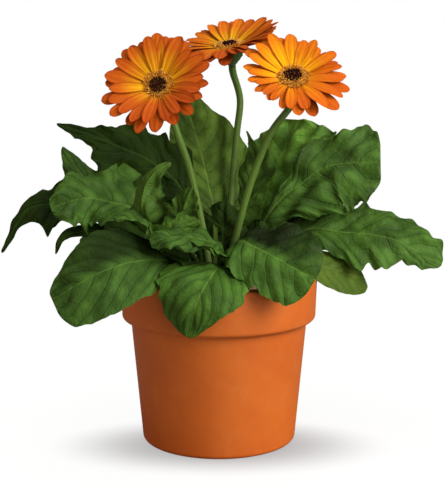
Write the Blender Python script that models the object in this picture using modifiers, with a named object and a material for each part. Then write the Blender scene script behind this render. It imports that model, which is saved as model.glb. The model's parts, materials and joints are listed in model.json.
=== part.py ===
"""A gerbera daisy in a round pot: pot, soil, crown, a rosette of leaves and three flower heads.

Metres, +Z up. The origin is the centre of the pot's underside, the front of the plant faces -Y.
Lengths in the constants and tables below are millimetres, angles are degrees.
"""

import math
from dataclasses import dataclass

import bmesh
import bpy
import numpy as np
from mathutils import Matrix, Vector

MM = 0.001
GAP = 0.4  # clear space left between pieces that touch in the real plant

# Pot: a tapered wall with a deep plain rim band
RIM_RADIUS = 80.0
RIM_TOP = 139.0
RIM_BAND = 36.0
BODY_RADIUS = 72.0
FOOT_RADIUS = 64.0
FOOT_ROUND = 4.0
WALL = 6.0
FLOOR = 6.0
POT_FACETS = 40
DRAIN_RADIUS = 2.0
DRAIN_CIRCLE = 34.0
DRAIN_COUNT = 6

# Growing mix and the crown that every stalk springs from
SOIL_EDGE = 120.0
SOIL_MIDDLE = 125.0
CROWN_TOP = 131.0
CROWN_RADIUS = 34.0

# Leaves
STALK_RADIUS = 2.4
RIB_HALF = 0.9
BLADE_HALF = 0.5
SECTION = (-1.0, -0.6, 0.0, 0.6, 1.0)  # places across the blade, edge to edge
STALK_RINGS = 4
BLADE_RINGS = 13
TIP_PLACE = 0.985
TANGENT_SPAN = 0.07  # share of the rib over which its direction is averaged

# Flower heads
SCAPE_RADIUS = 2.6
PETALS_PER_RING = 18
PETAL_THICKNESS = 0.8
PETAL_ROOT = 4.0
PETAL_FLAT = 14.0  # the petals' roots lie flat out to this radius
PETAL_SPLIT = 16.0  # radius where neighbouring petals part
CALYX_RADIUS = 12.0
CALYX_DEPTH = 14.0
DISC_RADIUS = 8.2
RING_RADIUS = 13.6
HEAD_FACETS = 24


@dataclass(frozen=True)
class Leaf:
    """A stalk and its blade as one growth.

    rib: points on the stalk and midrib, crown first. start: where on the rib the blade begins,
    counted in points. left and right: half widths at even steps along the blade, as seen looking
    out along the leaf. roll: how far the right side hangs, at the start and at the tip.
    blunt: higher is a blunter tip. sweep: how far the sides lean towards the tip.
    fold and curl: rise of the left and right halves at the rib, and their further bend.
    """

    name: str
    rib: tuple
    start: float
    left: tuple
    right: tuple
    roll: tuple = (0, 0)
    blunt: float = 8
    sweep: float = 0.0
    fold: tuple = (0, 0)
    curl: tuple = (0, 0)


@dataclass(frozen=True)
class Head:
    """A flower head on its stalk: centre of the petals' base, the way it faces, and its shape."""

    name: str
    scape: tuple
    centre: tuple
    facing: float  # turn of the face about Z, 0 is towards -Y, positive towards +X
    raised: float  # angle of the face above the horizon
    cup: float  # rise of the petals from the flat
    lift: float  # further rise of the upper petals, and drop of the lower
    radius: float  # reach of the outer petals
    neck: float = 12.0  # how far below the calyx the stalk runs straight


LEAVES = (
    Leaf("front_left",
         ((-25, -12, 131.4), (-37, -44, 156), (-65, -68, 161), (-94, -82, 153), (-125.5, -88, 135)),
         0.75, (3, 18, 31, 35, 36, 33, 24), (3, 18, 30, 34, 28, 18, 9),
         roll=(-38, -34), blunt=24, sweep=0.2),
    Leaf("front",
         ((-4, -28, 131.4), (2, -48, 154), (-6, -80, 151), (-16, -97, 135), (-22, -97, 108)),
         0.8, (3, 22, 30, 30, 24, 16, 8), (3, 34, 40, 38, 32, 26, 16),
         roll=(0, 0), blunt=8, sweep=0.2, curl=(-14, -22)),
    Leaf("front_right",
         ((19, -21, 131.4), (14, -44, 172), (32, -66, 170), (52, -79, 161), (73, -86, 150)),
         0.85, (3, 14, 24, 31, 33, 29, 20), (4, 20, 27, 29, 28, 28, 25),
         roll=(4, 32), blunt=18, sweep=0.05, curl=(0, -14)),
    Leaf("right_low",
         ((28, -5, 131.4), (63, -14, 155), (87, -8, 146), (107, -4, 139), (123, 0, 126)),
         0.8, (2, 9, 14, 16, 16, 12, 7), (2, 9, 15, 18, 19, 16, 10),
         roll=(50, 50), blunt=8, sweep=0.2),
    Leaf("right_long",
         ((17, -3, 131.4), (68, 10, 172), (104, 12, 172), (145, 4, 167), (183, -6, 147)),
         0.8, (4, 16, 21, 23, 25, 24, 22, 22, 21, 14), (4, 16, 21, 25, 32, 29, 24, 16, 11, 7),
         roll=(52, 60), blunt=16, sweep=0.12),
    Leaf("right_high",
         ((15, 8, 131.4), (42, 18, 186), (72, 24, 214), (95, 24, 227), (134.5, 18, 230)),
         0.7, (2, 4, 8, 15, 25, 30, 33, 34), (4, 16, 30, 40, 42, 41, 36, 26),
         roll=(45, 55), blunt=20, sweep=0.1),
    Leaf("back_right",
         ((10, 13, 131.4), (34, 44, 178), (44, 58, 208), (56, 70, 236), (70, 82, 262)),
         0.65, (3, 20, 32, 40, 44, 44, 38, 28), (3, 20, 34, 42, 46, 46, 48, 48),
         roll=(-6, -7), blunt=16),
    Leaf("back_mid",
         ((3, 11, 131.4), (21, 28, 193), (26, 32, 214), (30, 36, 235), (23, 38, 255)),
         0.7, (2, 4, 8, 10, 14, 9, 3, 1), (2, 5, 12, 18, 23, 17, 5, 1),
         roll=(0, 0), blunt=8),
    Leaf("back_tall",
         ((-4, 11, 131.4), (-4, 34, 183), (-9, 45, 208),
          (-16, 54, 237), (-25, 60, 266), (-28, 62, 288)),
         0.95, (4, 16, 24, 28, 28, 24, 18, 12), (4, 32, 45, 47, 42, 34, 25, 14),
         roll=(0, 0), blunt=8),
    Leaf("left_high",
         ((-12, 12, 131.4), (-28, 16, 202), (-56, 28, 229),
          (-85, 34, 242), (-112, 36, 253), (-137, 36, 261)),
         0.85, (4, 20, 34, 36, 32, 28, 22, 8, 6, 3), (4, 12, 24, 25, 24, 20.5, 12.5, 6, 3.5, 2),
         roll=(-60, -60), blunt=16, sweep=0.3),
    Leaf("left_up",
         ((-16, 6, 131.4), (-75, 8, 196), (-99, 14, 207), (-116, 18, 222), (-130, 20, 243)),
         0.7, (2, 8, 16, 17, 14, 12, 6), (2, 8, 14, 16, 13, 9, 3),
         roll=(-50, -50), blunt=5),
    Leaf("left_mid",
         ((-17, -3, 131.4), (-64, -8, 189), (-86, -14, 200), (-108, -18, 204), (-135, -24, 197)),
         0.75, (2, 5, 9, 16, 22, 26, 22, 16), (3, 14, 34, 36, 24, 24, 20, 13),
         roll=(-55, -50), blunt=14),
    Leaf("left_far",
         ((-28, 5, 131.4), (-100, 24, 193), (-132, 22, 195),
          (-158, 16, 192), (-171, 10, 174), (-181, 8, 155)),
         0.75, (2, 6, 10, 14, 20, 28, 18, 4, 4, 2), (2, 6, 14, 22, 19, 12, 7, 5, 3, 2),
         roll=(-55, -55), blunt=14),
    Leaf("left_small",
         ((-27, -6, 131.4), (-87, -12, 173), (-110, -20, 177), (-125, -26, 173), (-131, -28, 160)),
         0.75, (2, 4, 6, 4, 3, 2), (2, 4, 7, 6, 4, 2),
         roll=(-50, -50), blunt=12),
    Leaf("centre_left",
         ((-12, -12, 131.4), (-47, -34, 173), (-59, -46, 195),
          (-58, -46, 214), (-50, -44, 227), (-37, -40, 235)),
         0.8, (2, 14, 20, 20, 15, 8, 4), (2, 12, 16, 13, 9, 6, 3),
         roll=(25, 25), blunt=14, fold=(20, 30)),
    Leaf("centre",
         ((-8, -15, 131.4), (-25, -30, 169), (-29, -36, 186), (-27, -38, 200), (-21, -38, 215)),
         0.8, (2, 8, 11, 9, 12, 10, 6), (2, 9, 11, 8, 11, 9, 5),
         roll=(0, 0), blunt=12),
    Leaf("centre_front",
         ((-1, -17, 131.4), (4, -44, 165), (-11, -58, 176), (-31, -66, 180), (-53, -68, 176)),
         0.8, (2, 10, 15, 13, 12, 10, 7), (2, 8, 11, 11, 11, 9, 7),
         roll=(-30, -30), blunt=12),
    Leaf("right_inner",
         ((13, -11, 131.4), (22, -19, 158), (38, -23, 168), (55, -22, 174), (70, -20, 176)),
         0.7, (2, 10, 17, 19, 17, 13, 8), (2, 8, 14, 15, 12, 9, 5),
         roll=(40, 40), blunt=12),
    Leaf("rear_right",
         ((24, 14, 131.4), (54, 38, 178), (86, 56, 178), (118, 72, 150)),
         0.7, (3, 18, 28, 32, 30, 24, 16), (3, 18, 28, 32, 30, 24, 16),
         roll=(0, 0), blunt=6),
    Leaf("rear_mid_right",
         ((12, 25, 131.4), (34, 66, 184), (48, 98, 184), (60, 134, 150)),
         0.7, (3, 18, 30, 34, 32, 26, 16), (3, 18, 30, 34, 30, 24, 14),
         roll=(0, 0), blunt=6),
    Leaf("rear_mid_left",
         ((-7, 27, 131.4), (-24, 62, 180), (-34, 96, 180), (-46, 132, 146)),
         0.25, (3, 20, 26, 28, 26, 20, 12), (3, 18, 30, 34, 32, 24, 16),
         roll=(0, 0), blunt=6),
    Leaf("rear_left",
         ((-21, 19, 131.4), (-56, 50, 172), (-90, 62, 176), (-122, 76, 152)),
         0.5, (3, 18, 28, 32, 30, 24, 16), (3, 14, 24, 28, 26, 20, 14),
         roll=(0, 0), blunt=6),
)

HEADS = (
    Head("flower_left",
         ((-6, -3, 132.4), (-12, -2, 170), (-18, -1, 200), (-25, -2, 230), (-34, -4, 256)),
         (-46.8, -22, 292.4), facing=-13, raised=29, cup=13, lift=-4, radius=41.8),
    Head("flower_right",
         ((7, -2, 132.4), (14, -3, 170), (22, -5, 202), (31, -6, 230), (42, -8, 256)),
         (59, -14, 298.5), facing=-3, raised=48.5, cup=10, lift=5, radius=48.8),
    Head("flower_back",
         ((5, 21, 133.2), (9, 36, 180), (12.5, 46, 220), (15.5, 57, 253), (18.2, 66, 280)),
         (9.5, 58, 322.8), facing=-24, raised=72, cup=10, lift=2, radius=46, neck=7),
)


def clear_scene():
    """Empty the scene, whatever the file it starts from holds."""
    for item in list(bpy.data.objects):
        bpy.data.objects.remove(item, do_unlink=True)


def collection(name):
    """A new collection linked to the scene."""
    made = bpy.data.collections.new(name)
    bpy.context.scene.collection.children.link(made)
    return made


def material(name, colour, roughness):
    """A plain matt Principled material of an sRGB colour given as 0xRRGGBB."""
    parts = [((colour >> shift) & 255) / 255 for shift in (16, 8, 0)]
    linear = [c / 12.92 if c <= 0.04045 else ((c + 0.055) / 1.055) ** 2.4 for c in parts]
    made = bpy.data.materials.new(name)
    made.use_nodes = True
    shader = made.node_tree.nodes["Principled BSDF"]
    shader.inputs["Base Color"].default_value = (*linear, 1.0)
    shader.inputs["Roughness"].default_value = roughness
    shader.inputs["Metallic"].default_value = 0.0
    return made


def add_object(name, data, finish, group):
    """An object of the given data with its material, in its collection."""
    item = bpy.data.objects.new(name, data)
    data.materials.append(finish)
    group.objects.link(item)
    return item


def mesh_of(name, points, faces):
    """A smooth shaded mesh from points in millimetres."""
    mesh = bpy.data.meshes.new(name)
    mesh.from_pydata([Vector(p) * MM for p in points], [], faces)
    mesh.shade_smooth()
    return mesh


def turned(name, profile, facets, finish, group):
    """A profile of (radius, height) points turned round Z; it runs down its outer side."""
    closed = profile[0] == profile[-1]
    points = profile[:-1] if closed else profile
    edges = [(i, i + 1) for i in range(len(points) - 1)]
    if closed:
        edges.append((len(points) - 1, 0))
    mesh = bpy.data.meshes.new(name)
    mesh.from_pydata([(r * MM, 0.0, z * MM) for r, z in points], edges, [])
    item = add_object(name, mesh, finish, group)
    screw = item.modifiers.new("turn", "SCREW")
    screw.steps = facets
    screw.render_steps = facets
    screw.use_merge_vertices = True
    screw.merge_threshold = 0.00001
    screw.use_smooth_shade = True
    return item


def arc(centre, radius, start, end, count):
    """Points on an arc in the profile's plane, from one angle to another."""
    angles = [math.radians(start + (end - start) * i / (count - 1)) for i in range(count)]
    return [(centre[0] + radius * math.cos(a), centre[1] + radius * math.sin(a)) for a in angles]


def pot(group, cutters):
    """The pot: tapered wall, rim band with rounded edges, flat underside with drain holes."""
    rim_low = RIM_TOP - RIM_BAND
    taper = (BODY_RADIUS - FOOT_RADIUS) / (rim_low - FOOT_ROUND)
    inner_foot = FOOT_RADIUS - WALL
    inner_rim = BODY_RADIUS - WALL + taper * RIM_BAND
    profile = [(0.0, FLOOR), (inner_foot, FLOOR), (inner_rim, RIM_TOP - 2.0)]
    profile += arc((inner_rim + 2.0, RIM_TOP - 2.0), 2.0, 180, 90, 3)[1:]
    profile += arc((RIM_RADIUS - 2.5, RIM_TOP - 2.5), 2.5, 90, 0, 4)
    profile += arc((RIM_RADIUS - 4.5, rim_low + 3.5), 3.5, 0, -60, 4)
    profile += [(BODY_RADIUS + 0.4, rim_low - 1.5), (BODY_RADIUS, rim_low - 3.0)]
    profile += arc((FOOT_RADIUS - FOOT_ROUND, FOOT_ROUND), FOOT_ROUND, 0, -90, 5)
    profile += [(0.0, 0.0)]
    item = turned("pot", profile, POT_FACETS, material("fired terracotta", 0xB9602A, 0.65), group)

    holes = bmesh.new()
    for i in range(DRAIN_COUNT):
        turn = Matrix.Rotation(2 * math.pi * i / DRAIN_COUNT, 4, "Z")
        place = turn @ Matrix.Translation((DRAIN_CIRCLE * MM, 0.0, FLOOR / 2 * MM))
        bmesh.ops.create_cone(
            holes, cap_ends=True, segments=12, radius1=DRAIN_RADIUS * MM,
            radius2=DRAIN_RADIUS * MM, depth=3 * FLOOR * MM, matrix=place)
    mesh = bpy.data.meshes.new("drain_holes")
    holes.to_mesh(mesh)
    holes.free()
    cutter = bpy.data.objects.new("drain_holes", mesh)
    cutters.objects.link(cutter)
    cutter.hide_render = True
    cutter.display_type = "WIRE"
    cut = item.modifiers.new("drain", "BOOLEAN")
    cut.object = cutter
    cut.operation = "DIFFERENCE"
    return item


def soil(group):
    """The growing mix that fills the pot to below its rim, level under the crown."""
    taper = (BODY_RADIUS - FOOT_RADIUS) / (RIM_TOP - RIM_BAND - FOOT_ROUND)
    foot = FOOT_RADIUS - WALL - 1.5 * GAP
    edge = foot + taper * (SOIL_EDGE - FLOOR)
    profile = [(0.0, SOIL_MIDDLE), (CROWN_RADIUS + 2.0, SOIL_MIDDLE), (edge - 2.0, SOIL_EDGE),
               (edge, SOIL_EDGE - 2.0), (foot, FLOOR + GAP), (0.0, FLOOR + GAP)]
    return turned("soil", profile, POT_FACETS, material("peat growing mix", 0x2A1D12, 0.95), group)


def crown(group):
    """The short hairy crown that sits on the soil and carries every stalk."""
    foot = SOIL_MIDDLE + GAP
    profile = [(0.0, CROWN_TOP), (CROWN_RADIUS - 3.0, CROWN_TOP), (CROWN_RADIUS, CROWN_TOP - 2.5),
               (CROWN_RADIUS - 1.0, foot), (0.0, foot)]
    return turned("crown", profile, HEAD_FACETS, material("crown fibre", 0x3A2C18, 0.9), group)


def through(points, places):
    """Points of a smooth curve through the given ones, at places counted in points."""
    pts = np.asarray(points, float)
    ends = np.vstack([2 * pts[0] - pts[1], pts, 2 * pts[-1] - pts[-2]])
    at = np.clip(np.asarray(places, float), 0, len(pts) - 1 - 1e-9)
    i = np.floor(at).astype(int)
    f = (at - i)[:, None]
    a, b, c, d = ends[i], ends[i + 1], ends[i + 2], ends[i + 3]
    return 0.5 * (2 * b + (c - a) * f + (2 * a - 5 * b + 4 * c - d) * f**2
                  + (3 * b - a - 3 * c + d) * f**3)


def across(values, places):
    """A smooth run of single values, at places from 0 to 1."""
    column = np.asarray(values, float)[:, None]
    return through(column, np.asarray(places) * (len(values) - 1))[:, 0]


class Rib:
    """A leaf's stalk and midrib: its points, directions and side direction by length."""

    COUNT = 400

    def __init__(self, points):
        self.places = np.linspace(0, len(points) - 1, self.COUNT)
        self.points = through(points, self.places)
        steps = np.linalg.norm(np.diff(self.points, axis=0), axis=1)
        self.lengths = np.concatenate([[0.0], np.cumsum(steps)])
        self.along = self.averaged_directions()
        self.side = self.carried_sides(np.subtract(points[-1], points[0]))

    def averaged_directions(self):
        """The direction at each point, averaged so that the blade does not crease."""
        span = int(self.COUNT * TANGENT_SPAN)
        run = np.arange(1, span + 1)[:, None]
        before = self.points[0] - (self.points[1] - self.points[0]) * run[::-1]
        after = self.points[-1] + (self.points[-1] - self.points[-2]) * run
        padded = np.vstack([before, self.points, after])
        along = padded[2 * span:] - padded[:-2 * span]
        return along / np.linalg.norm(along, axis=1)[:, None]

    def carried_sides(self, outward):
        """The right hand side at each point, level at the crown and carried without twist."""
        side = np.array([outward[1], -outward[0], 0.0])
        sides = np.zeros_like(self.along)
        for i, way in enumerate(self.along):
            side = side - (side @ way) * way
            side = side / np.linalg.norm(side)
            sides[i] = side
        return sides

    def at(self, lengths):
        """Centre, direction, side and upper normal at the given lengths."""
        centre, along, side = (
            np.stack([np.interp(lengths, self.lengths, table[:, k]) for k in range(3)], -1)
            for table in (self.points, self.along, self.side))
        along /= np.linalg.norm(along, axis=1)[:, None]
        side -= np.sum(side * along, axis=1)[:, None] * along
        side /= np.linalg.norm(side, axis=1)[:, None]
        return centre, along, side, np.cross(side, along)


def leaf_rings(leaf):
    """The closed sections of a leaf from crown to tip, and its tip point."""
    rib = Rib(leaf.rib)
    begin = np.interp(leaf.start, rib.places, rib.lengths)
    total = rib.lengths[-1]
    stalk = np.linspace(0.0, begin, STALK_RINGS, endpoint=False)
    places = np.linspace(0.0, 1.0, BLADE_RINGS) ** 0.9 * TIP_PLACE
    lengths = np.concatenate([stalk, begin + places * (total - begin)])
    place = np.clip((lengths - begin) / (total - begin), 0.0, 1.0)
    centre, along, side, up = rib.at(lengths)

    roll = np.radians(leaf.roll[0] + (leaf.roll[1] - leaf.roll[0]) * place)[:, None]
    blend = np.clip(place / 0.2, 0.0, 1.0)[:, None]
    roll = roll * np.clip(lengths / max(begin, 1.0), 0.0, 1.0)[:, None]
    side, up = side * np.cos(roll) - up * np.sin(roll), up * np.cos(roll) + side * np.sin(roll)
    taper = np.sqrt(np.clip(1.0 - place**leaf.blunt, 0.0, 1.0))
    rings = []
    for row in range(len(lengths)):
        top, bottom = [], []
        for a in SECTION:
            half = across(leaf.left if a < 0 else leaf.right, place[row:row + 1])[0] * taper[row]
            half = max(half, STALK_RADIUS if place[row] == 0 else 0.8)
            bend = leaf.fold[a > 0] + 0.5 * leaf.curl[a > 0] * abs(a)
            tilt = math.radians(bend * blend[row, 0])
            reach = abs(a) * half
            middle = (centre[row] + side[row] * math.copysign(reach * math.cos(tilt), a)
                      + up[row] * reach * math.sin(tilt)
                      + along[row] * leaf.sweep * reach * blend[row])
            round_half = STALK_RADIUS * math.sqrt(1.0 - a * a)
            flat_half = 0.0 if abs(a) == 1.0 else (RIB_HALF if a == 0 else BLADE_HALF)
            thick = (1.0 - blend[row]) * round_half + blend[row] * flat_half
            top.append(middle + up[row] * thick)
            if abs(a) < 1.0:
                bottom.append(middle - up[row] * thick)
        rings.append(top + bottom[::-1])
    for point in rings[0]:
        point[2] = leaf.rib[0][2]
    return rings, rib.points[-1]


def leaf_object(leaf, finish, group):
    """A leaf as a closed loft from its round stalk to its flat blade."""
    rings, tip = leaf_rings(leaf)
    size = len(rings[0])
    points = [point for ring in rings for point in ring] + [tip]
    faces = [tuple(range(size))[::-1]]
    for row in range(len(rings) - 1):
        for i in range(size):
            j = (i + 1) % size
            low, high = row * size, (row + 1) * size
            faces.append((low + i, low + j, high + j, high + i))
    last = (len(rings) - 1) * size
    faces += [(last + i, last + (i + 1) % size, len(points) - 1) for i in range(size)]
    return add_object("leaf_" + leaf.name, mesh_of(leaf.name, points, faces), finish, group)


def tube(name, route, radius, finish, group):
    """A round stalk along a smooth curve through its route."""
    points = through(route, np.linspace(0, len(route) - 1, 5 * (len(route) - 1) + 1))
    curve = bpy.data.curves.new(name, "CURVE")
    curve.dimensions = "3D"
    curve.bevel_depth = radius * MM
    curve.bevel_resolution = 2
    curve.use_fill_caps = True
    spline = curve.splines.new("POLY")
    spline.points.add(len(points) - 1)
    for place, point in zip(spline.points, points):
        place.co = (*(point * MM), 1.0)
    return add_object(name, curve, finish, group)


def head_frame(head):
    """The matrix that stands a head's own +Z along the way it faces, at its centre."""
    lean = Matrix.Rotation(math.radians(90 - head.raised), 4, "X")
    turn = Matrix.Rotation(math.radians(head.facing), 4, "Z")
    return Matrix.Translation(Vector(head.centre) * MM) @ turn @ lean


def petal_ring(head, layer, finish, group):
    """One ring of ray petals joined at their roots, a scalloped dish with thickness."""
    reach = head.radius - 2.0 * layer
    base = GAP + layer * (PETAL_THICKNESS + GAP)
    columns = 4 * PETALS_PER_RING
    shares = (None, 0.0, 0.5, 1.0)
    points = []
    for share in shares:
        for i in range(columns):
            angle = 2 * math.pi * (i + 2 * layer) / columns
            outer = (PETAL_SPLIT, reach * 0.97, reach, reach * 0.97)[i % 4]
            radius = PETAL_ROOT if share is None else PETAL_FLAT + share * (outer - PETAL_FLAT)
            rise = math.radians(head.cup + 5.0 * layer + head.lift * math.sin(angle))
            height = base + math.tan(rise) * max(radius - PETAL_FLAT, 0.0)
            points.append((radius * math.cos(angle), radius * math.sin(angle), height))
    faces = []
    for row in range(len(shares) - 1):
        for i in range(columns):
            j = (i + 1) % columns
            faces.append((row * columns + i, (row + 1) * columns + i,
                          (row + 1) * columns + j, row * columns + j))
    name = f"{head.name}_petals_{('outer', 'inner')[layer]}"
    item = add_object(name, mesh_of(name, points, faces), finish, group)
    wall = item.modifiers.new("thickness", "SOLIDIFY")
    wall.thickness = PETAL_THICKNESS * MM
    wall.offset = 1.0
    wall.use_rim = True
    item.matrix_world = head_frame(head)
    return item


def flower_head(head, finishes, group):
    """A whole head: stalk, green cup, two rings of petals, floret ring and dark disc."""
    frame = head_frame(head)
    neck = frame @ Vector((0.0, 0.0, -(CALYX_DEPTH + 2 * GAP) * MM)) / MM
    under = frame @ Vector((0.0, 0.0, -(CALYX_DEPTH + head.neck) * MM)) / MM
    tube(head.name + "_stalk", head.scape + (tuple(under), tuple(neck)), SCAPE_RADIUS,
         finishes["stalk"], group)
    cup = [(0.0, 0.0), (CALYX_RADIUS - 1.0, 0.0), (CALYX_RADIUS, -2.0), (CALYX_RADIUS - 1.5, -7.0),
           (7.0, -11.5), (SCAPE_RADIUS + 0.8, -CALYX_DEPTH), (0.0, -CALYX_DEPTH)]
    low = 2 * (PETAL_THICKNESS + GAP) + GAP
    ring = [(11.0, low + 3.0), (RING_RADIUS - 0.4, low + 1.6), (RING_RADIUS, low),
            (DISC_RADIUS + GAP, low), (DISC_RADIUS + GAP, low + 2.4), (11.0, low + 3.0)]
    disc = [(0.0, low + 3.4), (5.0, low + 2.8), (DISC_RADIUS, low + 1.2), (DISC_RADIUS, low),
            (0.0, low)]
    for suffix, profile in (("calyx", cup), ("florets", ring), ("disc", disc)):
        item = turned(f"{head.name}_{suffix}", profile, HEAD_FACETS, finishes[suffix], group)
        item.matrix_world = frame
    for layer in range(2):
        petal_ring(head, layer, finishes["petals"], group)


def main():
    """Build every piece into the plant's collection."""
    clear_scene()
    plant = collection("gerbera_in_pot")
    cutters = collection("cutters")
    pot(plant, cutters)
    soil(plant)
    crown(plant)
    blade = material("leaf blade", 0x3F6426, 0.5)
    for leaf in LEAVES:
        leaf_object(leaf, blade, plant)
    finishes = {
        "stalk": material("flower stalk", 0x4A6A2A, 0.6),
        "calyx": material("calyx bracts", 0x2F4A1C, 0.7),
        "petals": material("ray petals", 0xE07A1A, 0.55),
        "florets": material("ring florets", 0xA8602A, 0.8),
        "disc": material("disc florets", 0x2E1010, 0.85),
    }
    for head in HEADS:
        flower_head(head, finishes, plant)


main()
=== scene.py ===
"""Looks of a potted gerbera daisy: fired pot, growing mix, leaf rosette and three flower heads.

Lengths in the classes are millimetres and angles degrees unless they say otherwise. The
meshes are in metres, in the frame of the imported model: +Z up, the plant's front towards -Y.
"""

import json
import logging
import math
from collections.abc import Callable
from dataclasses import dataclass
from enum import Enum
from functools import partial
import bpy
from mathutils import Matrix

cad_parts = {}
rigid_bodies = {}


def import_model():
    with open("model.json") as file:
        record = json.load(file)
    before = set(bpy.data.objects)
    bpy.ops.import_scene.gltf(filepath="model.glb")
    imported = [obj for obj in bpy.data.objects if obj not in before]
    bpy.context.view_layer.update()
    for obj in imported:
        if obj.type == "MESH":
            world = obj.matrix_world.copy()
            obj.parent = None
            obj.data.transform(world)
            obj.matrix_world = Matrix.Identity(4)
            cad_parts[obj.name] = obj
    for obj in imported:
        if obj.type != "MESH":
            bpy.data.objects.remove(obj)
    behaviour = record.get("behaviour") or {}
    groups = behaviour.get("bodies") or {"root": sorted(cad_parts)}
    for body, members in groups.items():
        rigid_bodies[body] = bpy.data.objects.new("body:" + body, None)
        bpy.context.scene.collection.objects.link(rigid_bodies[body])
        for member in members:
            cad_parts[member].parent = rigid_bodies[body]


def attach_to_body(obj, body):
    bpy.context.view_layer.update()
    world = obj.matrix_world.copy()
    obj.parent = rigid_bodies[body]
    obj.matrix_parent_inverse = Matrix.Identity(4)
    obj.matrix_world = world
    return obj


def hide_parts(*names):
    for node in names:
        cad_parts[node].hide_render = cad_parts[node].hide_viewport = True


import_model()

from types import SimpleNamespace

import bmesh
import bpy
import numpy as np
from mathutils import Matrix, Vector, noise

MM = 0.001
TURN = math.tau
GOLDEN_ANGLE = 2.39996
BODY = "root"
LOG = logging.getLogger("gerbera")
Value = bpy.types.Node | bpy.types.NodeSocket | str | float | tuple | None

# the kinds of node used most: a type name and its settings
COORDS = ("ShaderNodeTexCoord", {})
MAPPING = ("ShaderNodeMapping", {})
NOTE = ("ShaderNodeAttribute", {})
NOISE = ("ShaderNodeTexNoise", {})
CELLS = ("ShaderNodeTexVoronoi", {"feature": "F1"})
CELL_EDGES = ("ShaderNodeTexVoronoi", {"feature": "DISTANCE_TO_EDGE"})
MIX = ("ShaderNodeMix", {"data_type": "RGBA"})
RANGE = ("ShaderNodeMapRange", {})
SOFT = ("ShaderNodeMapRange", {"interpolation_type": "SMOOTHSTEP"})
XYZ = ("ShaderNodeCombineXYZ", {})
POINTS = ("GeometryNodePoints", {})

# ---- Nodes and finishes ----


def linear(colour: str) -> tuple:
    """The linear RGBA of an sRGB colour written as #RRGGBB."""
    parts = [int(colour[i:i + 2], 16) / 255 for i in (1, 3, 5)]
    return (*(c / 12.92 if c <= 0.04045 else ((c + 0.055) / 1.055) ** 2.4 for c in parts), 1.0)


def feed(tree: bpy.types.NodeTree, socket: bpy.types.NodeSocket, value: Value) -> None:
    """Give a socket its value.

    Args:
        tree: The node tree it is in.
        socket: The input.
        value: A number, a vector, a #RRGGBB colour, an output, a node, which stands for its
            first enabled output, or None, which leaves the socket as it is.
    """
    if isinstance(value, bpy.types.Node):
        value = next(o for o in value.outputs if o.enabled)
    if isinstance(value, bpy.types.NodeSocket):
        tree.links.new(value, socket)
    elif isinstance(value, str) and value.startswith("#"):
        socket.default_value = linear(value)
    elif value is not None:
        socket.default_value = value


def add(tree: bpy.types.NodeTree, kind: tuple | str, *values: Value,
        named: dict | None = None, **settings: object) -> bpy.types.Node:
    """Add a node with its settings and feed its sockets.

    Args:
        tree: The node tree that gets the node.
        kind: One of the kinds above, a type name, or a sum's name in capitals.
        values: What feeds the enabled sockets, in order.
        named: The same by socket name.
        settings: Further properties of the node, set before its sockets.

    Returns:
        The new node.
    """
    if isinstance(kind, str):
        kind = ("ShaderNodeMath", {"operation": kind}) if kind.isupper() else (kind, {})
    node = tree.nodes.new(kind[0])
    for name, value in {**kind[1], **settings}.items():
        setattr(node, name, value)
    for socket, value in zip([s for s in node.inputs if s.enabled], values):
        feed(tree, socket, value)
    for name, value in (named or {}).items():
        feed(tree, node.inputs[name], value)
    return node


@dataclass(frozen=True)
class Finish:
    """A finish with its even values, whose patterns each kind of finish paints.

    name: what the real material is and how it was made. sheen: what fine down or dust
    gives. gloss: level of the reflection, 0.5 as the IOR gives it. depth: of the relief.
    """

    name: str
    roughness: float = 0.5
    ior: float = 1.45
    sheen: float = 0.0
    gloss: float = 0.5
    depth: float = 0.3

    def paint(self, node: Callable) -> tuple:
        """Add the nodes of the patterns.

        Args:
            node: Adds a node.

        Returns:
            Colour, relief and roughness, None where the finish has no pattern.
        """
        raise NotImplementedError

    def material(self) -> bpy.types.Material:
        """Set the even values on the shader and link the patterns to it.

        Returns:
            The material.
        """
        made = bpy.data.materials.new(self.name)
        made.use_nodes = True
        tree = made.node_tree
        shader = tree.nodes["Principled BSDF"]
        colour, relief, rough = self.paint(partial(add, tree))
        bump = None
        if relief is not None:
            bump = add(tree, "ShaderNodeBump", 1.0, self.depth * MM, named={"Height": relief})
        for name, value in (("Base Color", colour), ("Roughness", self.roughness),
                            ("Roughness", rough), ("IOR", self.ior), ("Normal", bump),
                            ("Sheen Weight", self.sheen), ("Sheen Roughness", 0.5),
                            ("Specular IOR Level", self.gloss)):
            feed(tree, shader.inputs[name], value)
        return made


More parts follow.
